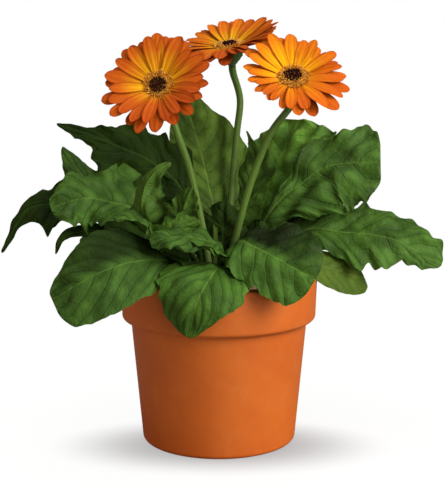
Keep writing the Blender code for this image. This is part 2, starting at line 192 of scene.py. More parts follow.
@dataclass(frozen=True)
class FiredTerracotta(Finish):
    """Pressed red clay, fired unglazed: matt, fine sandy grit and a faint dusty bloom."""

    name: str = "fired terracotta, pressed and unglazed"
    roughness: float = 0.58
    ior: float = 1.5
    gloss: float = 0.42
    depth: float = 0.1
    body: str = "#CB681E"
    deep: str = "#C25F18"
    bloom: str = "#D17B3A"
    speck: str = "#A5501C"
    grit: float = 0.5

    def paint(self, node: Callable) -> tuple:
        """Clay mottled by the firing, bloom in drifts, dark grains and press lines.

        Args:
            node: Adds a node.

        Returns:
            Colour, relief and roughness.
        """
        place = node(COORDS).outputs["Object"]
        # the firing mottles the clay in patches some 50 mm wide, and the bloom some 20 mm
        firing = node(SOFT, node(NOISE, place, 18.0, 4.0, 0.6), 0.35, 0.7)
        clay = node(MIX, firing, self.deep, self.body)
        dust = node(NOISE, place, 55.0, 6.0, 0.7)
        dusty = node(MIX, node(RANGE, dust, 0.52, 0.8, 0.0, 0.4), clay, self.bloom)
        grains = node(CELLS, place, 1.0 / (3.0 * self.grit * MM))
        colour = node(MIX, node(RANGE, grains, 0.12, 0.22, 0.35, 0.0), dusty, self.speck)
        # the press leaves faint lines that run round the wall, about a millimetre apart
        lines = node(NOISE, node(MAPPING, place, named={"Scale": (2.0, 2.0, 90.0)}),
                     9.0, 3.0, 0.6)
        fine = node(NOISE, place, 1.0 / (2.0 * self.grit * MM), 3.0, 0.6)
        return (colour, node("MULTIPLY_ADD", lines, 0.5, fine),
                node(RANGE, dust, 0.3, 0.7, 0.48, 0.66))


@dataclass(frozen=True)
class PeatMix(Finish):
    """Damp peat with bark and fibre: dark, loose and light-swallowing."""

    name: str = "peat growing mix, loose and damp"
    roughness: float = 0.92
    depth: float = 1.2
    dark: str = "#1E140C"
    brown: str = "#4A3320"
    fleck: str = "#7A5C3C"

    def paint(self, node: Callable) -> tuple:
        """Brown crumbs in several shades, with fibre flecks some two millimetres apart.

        Args:
            node: Adds a node.

        Returns:
            Colour, relief and roughness.
        """
        place = node(COORDS).outputs["Object"]
        clods = node(NOISE, place, 140.0, 5.0, 0.65)
        earth = node(MIX, node(RANGE, clods, 0.35, 0.7), self.dark, self.brown)
        fleck = node(RANGE, node(CELLS, place, 420.0), 0.1, 0.2, 0.6, 0.0)
        return node(MIX, fleck, earth, self.fleck), clods, None


@dataclass(frozen=True)
class Streaked(Finish):
    """Two shades in fine streaks that also give the relief.

    scale, detail and grain: of the pattern, finer with a higher scale. stretch: its scale up
    the piece, low where fibres run upwards.
    """

    first: str = "#DAD6CA"
    second: str = "#A3967C"
    scale: float = 600.0
    detail: float = 3.0
    grain: float = 0.6
    stretch: float = 1.0

    def paint(self, node: Callable) -> tuple:
        """Streaks, or even grains where nothing is stretched.

        Args:
            node: Adds a node.

        Returns:
            Colour, relief and roughness.
        """
        place = node(COORDS).outputs["Object"]
        drawn = node(MAPPING, place, named={"Scale": (1.0, 1.0, self.stretch)})
        streak = node(NOISE, drawn, self.scale, self.detail, self.grain)
        return self.shaded(node, place, node(MIX, streak, self.first, self.second)), streak, None

    def shaded(self, node: Callable, place: Value, colour: Value) -> Value:
        """The streaked colour with what else lies on it, here nothing."""
        return colour


@dataclass(frozen=True)
class ScapeSkin(Streaked):
    """Fleshy flower stalk: finely ribbed, matt, downy, browner towards its foot."""

    foot: str = "#404A1E"

    def shaded(self, node: Callable, place: Value, colour: Value) -> Value:
        """The streaked green, duller in the lowest centimetres."""
        height = node("ShaderNodeSeparateXYZ", place).outputs["Z"]
        return node(MIX, node(RANGE, height, 0.13, 0.20, 0.7, 0.0), colour, self.foot)


# dull white grains with fawn stains
PERLITE = Streaked("expanded perlite grains", 0.85)
# brown fibres drawn out upwards, with a woolly bloom
CROWN_FIBRE = Streaked("crown fibre, dry and woolly", 0.85, sheen=0.2, depth=0.6,
                       first="#4B3821", second="#8C7448", scale=500.0, detail=4.0,
                       grain=0.7, stretch=0.2)
# long fine streaks and a soft bloom of down
SCAPE_SKIN = ScapeSkin("flower stalk skin, ribbed and downy", 0.55, sheen=0.1, gloss=0.3,
                       depth=0.15, first="#44641F", second="#5F8032", scale=900.0,
                       stretch=0.06)


@dataclass(frozen=True)
class LeafSkin(Finish):
    """Living leaf blade: waxy satin upper side, veins sunk in it, paler downy underside.

    painted_dusk: the dark green that painted shade, carried by the shelter attribute, deepens the
    blade to. veining: strength of the side veins.
    """

    roughness: float = 0.54
    ior: float = 1.42
    gloss: float = 0.14
    depth: float = 0.65
    deep: str = "#2C4618"
    green: str = "#3F6324"
    # pale green of the painted light on the swellings between the veins
    light: str = "#588131"
    vein: str = "#2E4B14"
    rib: str = "#5C8030"
    under: str = "#4C6E2A"
    # dark green of the painted shade
    painted_dusk: str = "#15210A"
    veining: float = 0.5

    def paint(self, node: Callable) -> tuple:
        """Colour and relief that follow the leaf's own veins, carried by its attributes.

        Args:
            node: Adds a node.

        Returns:
            Colour, relief and roughness.
        """
        phase, rib_gap, along, under, tone, shelter = (
            node(NOTE, attribute_name=name).outputs["Fac"]
            for name in ("phase", "rib_gap", "along", "under", "tone", "shelter"))
        lie = node(NOTE, attribute_name="lie").outputs["Vector"]
        # broad shade drifts over a leaf in patches of one to three centimetres
        drift = node(NOISE, lie, 4.0, 3.0, 0.5)
        patch = node(SOFT, drift, 0.3, 0.72)
        blade = node(MIX, node("ADD", patch, tone, use_clamp=True), self.deep, self.green)
        # painted light: where the blade swells between the side veins it is paled towards its
        # light green, most in the brighter drifts
        gap = node("PINGPONG", phase, 0.5)
        swell = node("MULTIPLY", node(SOFT, gap, 0.1, 0.5, 0.15, 0.5), patch)
        lit = node(MIX, swell, blade, self.light)
        # small cells between the veinlets, about four millimetres wide
        mesh = node(CELL_EDGES, lie, 26.0)
        netted = node(MIX, node(RANGE, mesh, 0.0, 0.07, 0.08, 0.0), lit, self.vein)
        side_vein = node(SOFT, gap, 0.012, 0.06, self.veining, 0.0)
        veined = node(MIX, side_vein, netted, self.vein)
        inside = node("DIVIDE", rib_gap, node(RANGE, along, 0.0, 1.0, 1.5, 0.35))
        ribbed = node(MIX, node(SOFT, inside, 0.35, 0.85, 0.5, 0.0), veined, self.rib)
        upper = node(MIX, node(RANGE, under, 0.5, 0.6, 0.0, 0.75), ribbed, self.under)
        # small uneven crinkles all over, some seven millimetres long
        crinkled = node("MULTIPLY_ADD", node(NOISE, lie, 15.0, 3.0, 0.55), 2.4,
                        node(RANGE, mesh, 0.0, 0.25, 0.0, 0.18))
        relief = node("ADD", crinkled, node(SOFT, gap, 0.0, 0.10, 0.0, self.veining))
        rough = node(RANGE, drift, 0.3, 0.7, self.roughness - 0.06, self.roughness + 0.08)
        # painted shade: the blade is deepened towards its shade colour near the crown and on
        # the halves that stand in shade
        return node(MIX, shelter, upper, self.painted_dusk), relief, rough


@dataclass(frozen=True)
class AlongSkin(Finish):
    """Small parts coloured from root to tip, a little different from one to the next.

    varied: how far the parts differ. low and high: where along a part its middle colour
    comes and goes, each with the share that it reaches.
    """

    root: str = "#6C8838"
    body: str = "#6C8838"
    tip: str = "#A8B878"
    varied: float = 0.35
    low: tuple = (0.1, 0.55)
    high: tuple = (0.6, 1.05)

    def paint(self, node: Callable) -> tuple:
        """Root, body and tip colours that run up each part.

        Args:
            node: Adds a node.

        Returns:
            Colour, relief and roughness.
        """
        along, tone = (node(NOTE, attribute_name=name).outputs["Fac"]
                       for name in ("along", "tone"))
        reach = node("MULTIPLY_ADD", tone, self.varied, along)
        body = node(MIX, node(RANGE, reach, *self.low), self.root, self.body)
        return node(MIX, node(RANGE, reach, *self.high), body, self.tip), None, None


# short clear hairs that pale towards their tips
DOWN = AlongSkin("plant down, fine clear hairs", 0.4, varied=0.0, high=(0.0, 1.0))


@dataclass(frozen=True)
class BractSkin(Finish):
    """Overlapping green bracts of the cup under the petals: matt with thin dark tips."""

    name: str = "calyx bract, matt and leathery"
    roughness: float = 0.6
    sheen: float = 0.15
    depth: float = 0.2
    base: str = "#4E6E2C"
    body: str = "#375320"
    tip: str = "#3A2A1C"

    def paint(self, node: Callable) -> tuple:
        """Paler base, green body and a dry dark point, with lengthwise lines.

        Args:
            node: Adds a node.

        Returns:
            Colour, relief and roughness.
        """
        along, across = (node(NOTE, attribute_name=name).outputs["Fac"]
                         for name in ("along", "across"))
        body = node(MIX, node(RANGE, along, 0.0, 0.5), self.base, self.body)
        colour = node(MIX, node(RANGE, along, 0.82, 1.0, 0.0, 0.9), body, self.tip)
        lines = node(NOISE, None, 6.0, 2.0, 0.5, noise_dimensions="1D", named={"W": across})
        return colour, lines, None


@dataclass(frozen=True)
class RaySkin(Finish):
    """Ray petal: thin satin tissue, yellow at its root, orange outwards, redder behind.

    reach: how far out the yellow runs. turn: how much farther it does on the high side, and
    sooner on the low side, as painted light and shade.
    """

    roughness: float = 0.62
    ior: float = 1.42
    gloss: float = 0.08
    depth: float = 0.18
    root: str = "#F2B50C"
    body: str = "#EA8A12"
    tip: str = "#DD6C14"
    edge: str = "#C04C10"
    line: str = "#C65F0E"
    back: str = "#B83A12"
    reach: float = 0.4
    turn: float = 0.18

    def paint(self, node: Callable) -> tuple:
        """Colour that runs out along the petal, darker rims and fine lengthwise veins.

        Args:
            node: Adds a node.

        Returns:
            Colour, relief and roughness.
        """
        along, across, under, tone, high = (
            node(NOTE, attribute_name=name).outputs["Fac"]
            for name in ("along", "across", "under", "tone", "high"))
        # painted light and shade: petals on the high, upper left side keep their yellow farther
        # out, and the low ones are redder
        kept = node("MULTIPLY_ADD", high, -self.turn, along)
        wander = node("MULTIPLY_ADD", tone, 0.08, kept)
        rootward = node(RANGE, wander, 0.1, self.reach + 0.1)
        warm = node(MIX, rootward, self.root, self.body)
        face = node(MIX, node(SOFT, wander, 0.5, 1.1), warm, self.tip)
        side = node("ABSOLUTE", across)
        # painted shade with the petals' own tone: low petals, and some others at random, redden,
        # and the rims redden, partly their own colour and partly painted shade where petals
        # overlap
        painted_shade_and_tone_flush = node(RANGE, node("MULTIPLY_ADD", high, -0.5, tone), -0.4, 1.5, 0.0, 0.6)
        redder = node("MAXIMUM", painted_shade_and_tone_flush, node(SOFT, side, 0.62, 1.0, 0.0, 0.85))
        rimmed = node(MIX, redder, face, self.edge)
        # fine veins run the petal's length, some 0.8 millimetres apart
        vein = node("PINGPONG", node("MULTIPLY_ADD", across, 7.0, tone), 0.5)
        # painted shade: the two grooves beside the middle are darkened into lines
        off = node("ABSOLUTE", node("SUBTRACT", side, 0.42))
        streak = node("MAXIMUM", node(RANGE, vein, 0.0, 0.22, 0.4, 0.0),
                      node(SOFT, off, 0.0, 0.16, 0.55, 0.0))
        lined = node(MIX, streak, rimmed, self.line)
        behind = node(RANGE, under, 0.5, 0.6, 0.0, 0.9)
        return node(MIX, behind, lined, self.back), vein, None


# ---- Meshes ----


def set_attribute(mesh: bpy.types.Mesh, name: str, values: np.ndarray | list,
                  kind: str = "FLOAT") -> None:
    """Store one value for each vertex under a name."""
    mesh.attributes.new(name, kind, "POINT").data.foreach_set(
        "vector" if kind == "FLOAT_VECTOR" else "value", np.asarray(values, np.float32).ravel())


def plain_mesh(name: str, points: np.ndarray | list, faces: list) -> bpy.types.Mesh:
    """Make a smooth shaded mesh.

    Args:
        name: Of the mesh.
        points: In millimetres.
        faces: Point numbers of each face.

    Returns:
        The mesh.
    """
    mesh = bpy.data.meshes.new(name)
    mesh.from_pydata((np.asarray(points, float) * MM).tolist(), [], faces)
    mesh.shade_smooth()
    return mesh


def poured(name: str, form: bmesh.types.BMesh) -> bpy.types.Mesh:
    """Turn an edit form into a mesh and free it.

    Args:
        name: Of the mesh.
        form: The edit form.

    Returns:
        The mesh.
    """
    mesh = bpy.data.meshes.new(name)
    form.to_mesh(mesh)
    form.free()
    return mesh


def shell(name: str, top: np.ndarray, low: np.ndarray, apex: tuple | np.ndarray,
          **layers: np.ndarray | float) -> bpy.types.Mesh:
    """A closed blade between an upper and a lower grid that share their side margins.

    Args:
        name: Of the mesh.
        top: Upper points, (rows, columns, 3), rows run along, columns from left to right.
        low: Lower points in the same layout; its outer columns are not used.
        apex: Point that closes the far end.
        layers: Values of shape (rows, columns), stored for both sides; the apex gets the
            middle value of the last row.

    Returns:
        The mesh, with an "under" attribute that is 1 below and 0 above.
    """
    rows, cols = top.shape[:2]
    inner = cols - 2
    tip = rows * (cols + inner)
    upper = np.arange(rows * cols).reshape(rows, cols)
    lower = upper.copy()
    lower[:, 1:-1] = np.arange(rows * cols, tip).reshape(rows, inner)
    upper, lower = upper.tolist(), lower.tolist()
    faces = []
    for i in range(rows - 1):
        for j in range(cols - 1):
            faces += [(upper[i][j], upper[i][j + 1], upper[i + 1][j + 1], upper[i + 1][j]),
                      (lower[i][j], lower[i + 1][j], lower[i + 1][j + 1], lower[i][j + 1])]
    first, last = ([*upper[i], *lower[i][-2:0:-1]] for i in (0, -1))
    faces.append(tuple(first[::-1]))
    faces += [(last[k], last[(k + 1) % len(last)], tip) for k in range(len(last))]
    points = np.vstack([top.reshape(-1, 3), low[:, 1:-1].reshape(-1, 3), [apex]])
    mesh = plain_mesh(name, points, faces)

    for key, grid in layers.items():
        grid = np.broadcast_to(np.asarray(grid, float), (rows, cols) + np.shape(grid)[2:])
        flat = np.vstack([grid.reshape(rows * cols, -1),
                          grid[:, 1:-1].reshape(rows * inner, -1),
                          grid[-1, cols // 2].reshape(1, -1)])
        set_attribute(mesh, key, flat, "FLOAT_VECTOR" if grid.ndim == 3 else "FLOAT")
    set_attribute(mesh, "under", np.repeat((0.0, 1.0, 0.0), (rows * cols, rows * inner, 1)))

    # the margin is a real edge, so the two sides are not shaded into each other
    ends = np.empty(len(mesh.edges) * 2, int)
    mesh.edges.foreach_get("vertices", ends)
    ends = ends.reshape(-1, 2)
    column = np.where(ends < rows * cols, ends % cols, 1)
    margin = (column[:, 0] == column[:, 1]) & np.isin(column[:, 0], (0, cols - 1))
    mesh.edges.foreach_set("use_edge_sharp", margin)
    return mesh


def turned(name: str, profile: list, segments: int,
           ripple: Callable | None = None) -> bpy.types.Mesh:
    """A profile of (radius, height) points turned round Z into a closed mesh.

    Args:
        name: Of the mesh.
        profile: From the axis, down the outer side and back to the axis.
        segments: Faces round.
        ripple: Function of a point's radius, turn and height that pushes it outwards.

    Returns:
        The mesh, smooth shaded.
    """
    points, rings, faces = [], [], []
    for radius, height in profile:
        if radius == 0.0:
            rings.append([len(points)] * segments)
            points.append((0.0, 0.0, height))
            continue
        rings.append(list(range(len(points), len(points) + segments)))
        for turn in (TURN * k / segments for k in range(segments)):
            reach = radius + (ripple(radius, turn, height) if ripple else 0.0)
            points.append((reach * math.cos(turn), reach * math.sin(turn), height))
    for high, low in zip(rings, rings[1:]):
        for k in range(segments):
            j = (k + 1) % segments
            faces.append(tuple(dict.fromkeys((high[k], low[k], low[j], high[j]))))
    return plain_mesh(name, points, faces)


def piece(name: str, mesh: bpy.types.Mesh,
          finish: bpy.types.Material | None = None) -> bpy.types.Object:
    """Link an object of a mesh to the scene.

    Args:
        name: Of the piece.
        mesh: Its mesh.
        finish: Its finish, if it has one yet.

    Returns:
        The object.
    """
    made = bpy.data.objects.new(name, mesh)
    if finish is not None:
        mesh.materials.append(finish)
    bpy.context.scene.collection.objects.link(made)
    return made


def settle(item: bpy.types.Object) -> bpy.types.Object:
    """Turn an object and its modifiers into one plain mesh.

    Args:
        item: The object.

    Returns:
        The same object, without modifiers.
    """
    graph = bpy.context.evaluated_depsgraph_get()
    mesh = bpy.data.meshes.new_from_object(
        item.evaluated_get(graph), preserve_all_data_layers=True, depsgraph=graph)
    mesh.name = item.name
    item.modifiers.clear()
    item.data = mesh
    return item


def attach(item: bpy.types.Object, slot: str, *nodes: str) -> None:
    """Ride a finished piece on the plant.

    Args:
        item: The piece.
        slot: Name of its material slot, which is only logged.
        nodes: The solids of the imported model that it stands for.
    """
    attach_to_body(item, BODY)
    if nodes:
        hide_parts(*nodes)
    LOG.info("%s: %d faces, slot %s, for %s", item.name, len(item.data.polygons), slot,
             ", ".join(nodes) or "no solid")


def through(points: tuple | np.ndarray, places: np.ndarray) -> np.ndarray:
    """A smooth curve through points.

    Args:
        points: The points that it runs through.
        places: Where it is wanted, counted in points.

    Returns:
        Its points at those places.
    """
    pts = np.asarray(points, float)
    ends = np.vstack([2 * pts[0] - pts[1], pts, 2 * pts[-1] - pts[-2]])
    at = np.clip(np.asarray(places, float), 0, len(pts) - 1 - 1e-9)
    i = np.floor(at).astype(int)
    f = (at - i)[:, None]
    a, b, c, d = ends[i], ends[i + 1], ends[i + 2], ends[i + 3]
    return 0.5 * (2 * b + (c - a) * f + (2 * a - 5 * b + 4 * c - d) * f**2
                  + (3 * b - a - 3 * c + d) * f**3)


def run_of(values: tuple, places: np.ndarray) -> np.ndarray:
    """A smooth run of single values, at places from 0 to 1."""
    column = np.asarray(values, float)[:, None]
    return through(column, np.asarray(places) * (len(values) - 1))[:, 0]


def eased(values: float | np.ndarray, start: float, end: float) -> np.ndarray:
    """Values brought to 0 at start and 1 at end, with soft ends."""
    t = np.clip((np.asarray(values, float) - start) / (end - start), 0.0, 1.0)
    return t * t * (3 - 2 * t)


# ---- Geometry node trees ----


class GrowthTree:
    """A geometry node tree with named inputs, and the way to grow a piece with it.

    WHOLE and REAL: its whole number and decimal inputs. given: what each input gives.
    """

    TITLE = ""
    WHOLE = ""
    REAL = ""

    def __init__(self) -> None:
        """Make the tree's inputs and outputs, then its growth."""
        self.tree = bpy.data.node_groups.new(self.TITLE, "GeometryNodeTree")
        self.node = partial(add, self.tree)
        face = self.tree.interface
        face.new_socket(name="Geometry", in_out="INPUT", socket_type="NodeSocketGeometry")
        kinds = {**dict.fromkeys(self.WHOLE.split(), "Int"), "parts": "Collection",
                 **dict.fromkeys(self.REAL.split(), "Float"), "finish": "Material"}
        self.keys = {label: face.new_socket(name=label, in_out="INPUT",
                                            socket_type="NodeSocket" + kind).identifier
                     for label, kind in kinds.items()}
        face.new_socket(name="Geometry", in_out="OUTPUT", socket_type="NodeSocketGeometry")
        outputs = self.node("NodeGroupInput").outputs
        self.base = outputs["Geometry"]
        self.given = SimpleNamespace(**{label: outputs[label] for label in kinds})
        self.index = self.node("GeometryNodeInputIndex")
        self.plan()

    def plan(self) -> None:
        """Lay out the nodes between the inputs and the output."""
        raise NotImplementedError

    def chance(self, low: Value, high: Value, salt: int) -> bpy.types.Node:
        """A random value for each item, repeatable from the tree's seed input."""
        seed = self.node("ADD", self.given.seed, float(salt))
        return self.node("FunctionNodeRandomValue", low, high, None, seed,
                         data_type="FLOAT")

    def picked(self, salt: int) -> bpy.types.Node:
        """A part's number by chance, each as likely as the others."""
        last = self.node("SUBTRACT", self.given.kinds, 0.51)
        return self.node("ROUND", self.chance(-0.49, last, salt))

    def sown(self, points: Value, part: Value, turn: Value, size: Value) -> None:
        """Set parts on points, note a tone for each, and end the tree.

        Args:
            points: Geometry whose points carry the parts.
            part: Which part each point gets.
            turn: Rotation of each.
            size: Scale of each.
        """
        parts = self.node("GeometryNodeCollectionInfo", self.given.parts, True, True)
        set_out = self.node("GeometryNodeInstanceOnPoints", points, None, parts, True, part,
                            turn, size)
        self.end(self.node("GeometryNodeStoreNamedAttribute", set_out, None, "tone",
                           self.chance(-1.0, 1.0, 90), domain="INSTANCE",
                           data_type="FLOAT"))

    def end(self, geometry: bpy.types.Node) -> None:
        """Realize the instances, set the finish and lead out."""
        real = self.node("GeometryNodeRealizeInstances", geometry)
        self.node("NodeGroupOutput",
                  self.node("GeometryNodeSetMaterial", real, None, self.given.finish))

    def grow(self, name: str, base: bpy.types.Mesh | None = None,
             **inputs: object) -> bpy.types.Object:
        """Grow a piece and settle it.

        Args:
            name: Of the piece.
            base: Mesh that the tree starts from, where it needs one.
            inputs: Values by input name; lengths are metres and angles radians here.

        Returns:
            The piece as a plain mesh.
        """
        item = piece(name, base or bpy.data.meshes.new("none"))
        growth = item.modifiers.new("growth", "NODES")
        growth.node_group = self.tree
        for label, value in inputs.items():
            growth[self.keys[label]] = value
        return settle(item)


class Whorl(GrowthTree):
    """Parts in a ring that point outwards: petals and bracts.

    step and step_rise: how much higher and steeper every other part is. lift and swing: more
    rise to the head's top and right. skew: how much shorter the low left parts are, and less
    so the high right ones. weight: how far a part's height picks its kind.
    """

    TITLE = "whorl of parts"
    WHOLE = "count kinds seed"
    REAL = ("radius height step rise step_rise lift swing skew rise_spread turn_spread "
            "stagger low_size high_size weight")

    def plan(self) -> None:
        """Points round a ring, each with its lean, its kind and its size."""
        given, node = self.given, self.node
        wander = self.chance(node("MULTIPLY", given.turn_spread, -1.0), given.turn_spread, 1)
        spot = node("ADD", node("ADD", self.index, given.stagger), wander)
        angle = node("MULTIPLY", spot, node("DIVIDE", TURN, given.count))
        east, north = node("COSINE", angle), node("SINE", angle)
        # every other part stands a step higher, so that neighbours lap over each other
        odd = node("MODULO", self.index, 2.0)
        where = node(XYZ, node("MULTIPLY", east, given.radius),
                     node("MULTIPLY", north, given.radius),
                     node("MULTIPLY_ADD", odd, given.step, given.height))
        spread = self.chance(node("MULTIPLY", given.rise_spread, -1.0), given.rise_spread, 2)
        swung = node("MULTIPLY_ADD", east, given.swing, given.rise)
        lifted = node("MULTIPLY_ADD", north, given.lift, swung)
        stepped = node("MULTIPLY_ADD", odd, given.step_rise, lifted)
        rise = node("MULTIPLY", node("ADD", stepped, spread), -1.0)
        turn = node(XYZ, self.chance(-0.07, 0.07, 3), rise, angle)
        # the kinds are in order of droop, and the lower parts droop more
        fall = node("MULTIPLY_ADD", node("MULTIPLY", north, given.weight), -0.5, 0.5)
        drawn = node("ADD", node("MULTIPLY", fall, given.kinds), self.chance(-2.2, 1.2, 4))
        kept = node("MINIMUM", node("MAXIMUM", drawn, 0.0),
                    node("SUBTRACT", given.kinds, 1.0))
        low_left = node("MAXIMUM", node("MULTIPLY", node("ADD", east, north), -0.7), 0.0)
        high_right = node("MAXIMUM", node("MULTIPLY_ADD", east, 0.5,
                                          node("MULTIPLY", north, 0.87)), 0.0)
        short = node("MULTIPLY_ADD", high_right, 0.75, low_left)
        cut = node("SUBTRACT", 1.0, node("MULTIPLY", short, given.skew))
        size = node("MULTIPLY", self.chance(given.low_size, given.high_size, 5), cut)
        # the high mark, up and to the left, steers the petals' painted light and shade
        high = node("SUBTRACT", node("MULTIPLY", north, 0.8), node("MULTIPLY", east, 0.6))
        marked = node("GeometryNodeStoreNamedAttribute", node(POINTS, given.count, where),
                      None, "high", high, domain="POINT", data_type="FLOAT")
        self.sown(marked, node("ROUND", kept), turn, size)


class Spiral(GrowthTree):
    """Parts packed in a golden angle spiral over a dome, as florets are.

    lean_in and lean_out: how far the parts lean outwards at the middle and at the edge.
    """

    TITLE = "spiral of florets"
    WHOLE = "count kinds seed"
    REAL = "inner outer height dome lean_in lean_out low_size high_size"

    def plan(self) -> None:
        """Points on the dome, each with its lean, its kind and its size."""
        given, node = self.given, self.node
        share = node("DIVIDE", node("ADD", self.index, 0.5), given.count)
        inner = node("POWER", given.inner, 2.0)
        room = node("SUBTRACT", node("POWER", given.outer, 2.0), inner)
        radius = node("SQRT", node("MULTIPLY_ADD", share, room, inner))
        angle = node("MULTIPLY", self.index, GOLDEN_ANGLE)
        fall = node("POWER", node("DIVIDE", radius, given.outer), 2.0)
        height = node("MULTIPLY_ADD", fall, node("MULTIPLY", given.dome, -1.0),
                      node("ADD", given.height, given.dome))
        where = node(XYZ, node("MULTIPLY", node("COSINE", angle), radius),
                     node("MULTIPLY", node("SINE", angle), radius), height)
        more = node("SUBTRACT", given.lean_out, given.lean_in)
        lean = node("ADD", node("MULTIPLY_ADD", share, more, given.lean_in),
                    self.chance(-0.25, 0.25, 1))
        turn = node(XYZ, self.chance(-0.3, 0.3, 2), lean, angle)
        self.sown(node(POINTS, given.count, where), self.picked(3), turn,
                  self.chance(given.low_size, given.high_size, 4))


class Scatter(GrowthTree):
    """Parts strewn over a surface, standing off it: crumbs, fibres and down.

    wild: how far a part may lean over, in radians.
    """

    TITLE = "scatter over a surface"
    WHOLE = "kinds seed"
    REAL = "density wild low_size high_size"

    def plan(self) -> None:
        """Points on the surface, each with its lean, its kind and its size."""
        given, node = self.given, self.node
        strewn = node("GeometryNodeDistributePointsOnFaces", self.base, None, given.density,
                      given.seed)
        back = node("MULTIPLY", given.wild, -1.0)
        tip = node(XYZ, self.chance(back, given.wild, 1), self.chance(back, given.wild, 2),
                   self.chance(0.0, TURN, 3))
        turn = node("FunctionNodeRotateRotation", strewn.outputs["Rotation"], tip,
                    rotation_space="LOCAL")
        self.sown(strewn, self.picked(4), turn,
                  self.chance(given.low_size, given.high_size, 5))


class Sweep(GrowthTree):
    """A ribbed tube along a line of edges, thinnest in its middle: a flower stalk.

    foot, waist and neck: its radii. ribs: how many run up it. rib_depth: as a share.
    """

    TITLE = "swept stalk"
    WHOLE = "steps"
    REAL = "foot waist neck ribs rib_depth"

    def plan(self) -> None:
        """A ribbed ring swept along the line, with its radius set along the way."""
        given, node = self.given, self.node
        line = node("GeometryNodeMeshToCurve", self.base)
        even = node("GeometryNodeResampleCurve", line, None, given.steps)
        share = node("GeometryNodeSplineParameter").outputs["Factor"]
        foot = node(SOFT, share, 0.0, 0.15, given.foot, given.waist)
        radius = node("MULTIPLY_ADD", node(SOFT, share, 0.9, 1.0),
                      node("SUBTRACT", given.neck, given.waist), foot)
        ring = node("GeometryNodeCurvePrimitiveCircle", 40, named={"Radius": 1.0})
        wave = node("COSINE", node("MULTIPLY", node("MULTIPLY", share, TURN), given.ribs))
        swell = node("MULTIPLY_ADD", wave, given.rib_depth, 1.0)
        out = node("ShaderNodeVectorMath", node("GeometryNodeInputPosition"),
                   named={"Scale": swell}, operation="SCALE")
        ribbed = node("GeometryNodeSetPosition", ring, None, out)
        tube = node("GeometryNodeCurveToMesh", even, ribbed, radius, True)
        self.end(node("GeometryNodeSetShadeSmooth", tube))


class Parts:
    """Small meshes for a tree to sow, gone from the file when they are no longer needed."""

    def __init__(self, *meshes: bpy.types.Mesh) -> None:
        """Hold one object for each mesh.

        Args:
            meshes: In the order of the kinds.
        """
        self.group = bpy.data.collections.new("parts")
        for number, mesh in enumerate(meshes):
            self.group.objects.link(bpy.data.objects.new(f"part_{number:02d}", mesh))

    def __enter__(self) -> bpy.types.Collection:
        """The collection, for as long as the parts are needed."""
        return self.group

    def __exit__(self, *error: object) -> None:
        """Remove the parts and their collection."""
        for item in list(self.group.objects):
            bpy.data.objects.remove(item)
        bpy.data.collections.remove(self.group)


# ---- Small parts ----


@dataclass(frozen=True)
class Strap:
    """A strap shaped part, lying out along +X with its face up: a petal, bract or floret.

    root: width at the root and widest: place of the full width, as shares. droop: how far
    its direction falls by the tip. hollow: depth of the channel along its middle. groove:
    depth of the two lines beside the middle. wave: height of the margin's waves. point:
    lower is a sharper tip.
    """

    length: float
    width: float
    root: float = 0.35
    widest: float = 0.62
    droop: float = 0.0
    hollow: float = 0.0
    groove: float = 0.0
    twist: float = 0.0
    wave: float = 0.0
    point: float = 2.4
    thick: float = 0.4
    rows: int = 18
    cols: int = 13
    seed: int = 0

    TIP = 0.985  # share of the length at which the last row lies

    def spine(self, s: np.ndarray) -> tuple:
        """The drooping middle line.

        Args:
            s: Shares of the length.

        Returns:
            Its reach, height and pitch at those shares, and the point just past its end.
        """
        fall = -np.radians(self.droop) * np.linspace(0, 1, 200)**1.7
        out, up = (np.concatenate([[0], np.cumsum(way(fall[:-1]))]) / 199 * self.length
                   for way in (np.cos, np.sin))
        nib = self.length * (1 - self.TIP)
        apex = (out[-1] + nib * math.cos(fall[-1]) * 0.4, 0.0,
                up[-1] + nib * math.sin(fall[-1]) * 0.4 - self.thick / 2)
        return *(np.interp(s, np.linspace(0, 1, 200), run) for run in (out, up, fall)), apex

    def mesh(self) -> bpy.types.Mesh:
        """Lay the part out in rows along its spine.

        Returns:
            A closed mesh with "along", "across" and "under" attributes.
        """
        dice = np.random.default_rng(self.seed)
        s = (0.5 * np.linspace(0, 1, self.rows)
             + 0.5 * np.sin(np.linspace(0, math.pi / 2, self.rows))) * self.TIP
        x, z, pitch, apex = self.spine(s)
        tail = np.clip((s - 0.45) / 0.55, 0, 1)
        half = self.width / 2 * (self.root + (1 - self.root) * eased(s, 0, self.widest))
        half = half * np.sqrt(1 - tail**self.point)
        turn = np.radians(self.twist) * s + np.radians(4) * np.sin(
            3 * s + dice.uniform(0, TURN)) * s
        side, drop = np.meshgrid(np.linspace(-1, 1, self.cols), s)
        reach = half[:, None] * side
        inner = np.exp(-((np.abs(side) - 0.42) / 0.13) ** 2)
        relief = (self.hollow * (side**2 - 0.3) * eased(drop, 0, 0.3)
                  - self.groove * inner * eased(drop, 0.05, 0.3) * (1 - 0.4 * drop))
        ripple = sum(np.sin(drop * f + dice.uniform(0, TURN) + 1.4 * np.sign(side))
                     for f in (9.0, 17.0))
        relief = relief + self.wave * ripple * side**2 * drop
        cos, sin = np.cos(turn)[:, None], np.sin(turn)[:, None]
        grids = []
        for level in (relief, relief - self.thick * (1 - 0.5 * side**4)):
            rise = reach * sin + level * cos
            grids.append(np.stack([x[:, None] - rise * np.sin(pitch)[:, None],
                                   level * sin - reach * cos,
                                   z[:, None] + rise * np.cos(pitch)[:, None]], -1))
        return shell("strap", *grids, apex, along=drop, across=side)

    def upright(self) -> bpy.types.Mesh:
        """Stand the part up.

        Returns:
            The mesh, along +Z with its face towards -X.
        """
        mesh = self.mesh()
        mesh.transform(Matrix.Rotation(math.radians(-90), 4, "Y"))
        return mesh


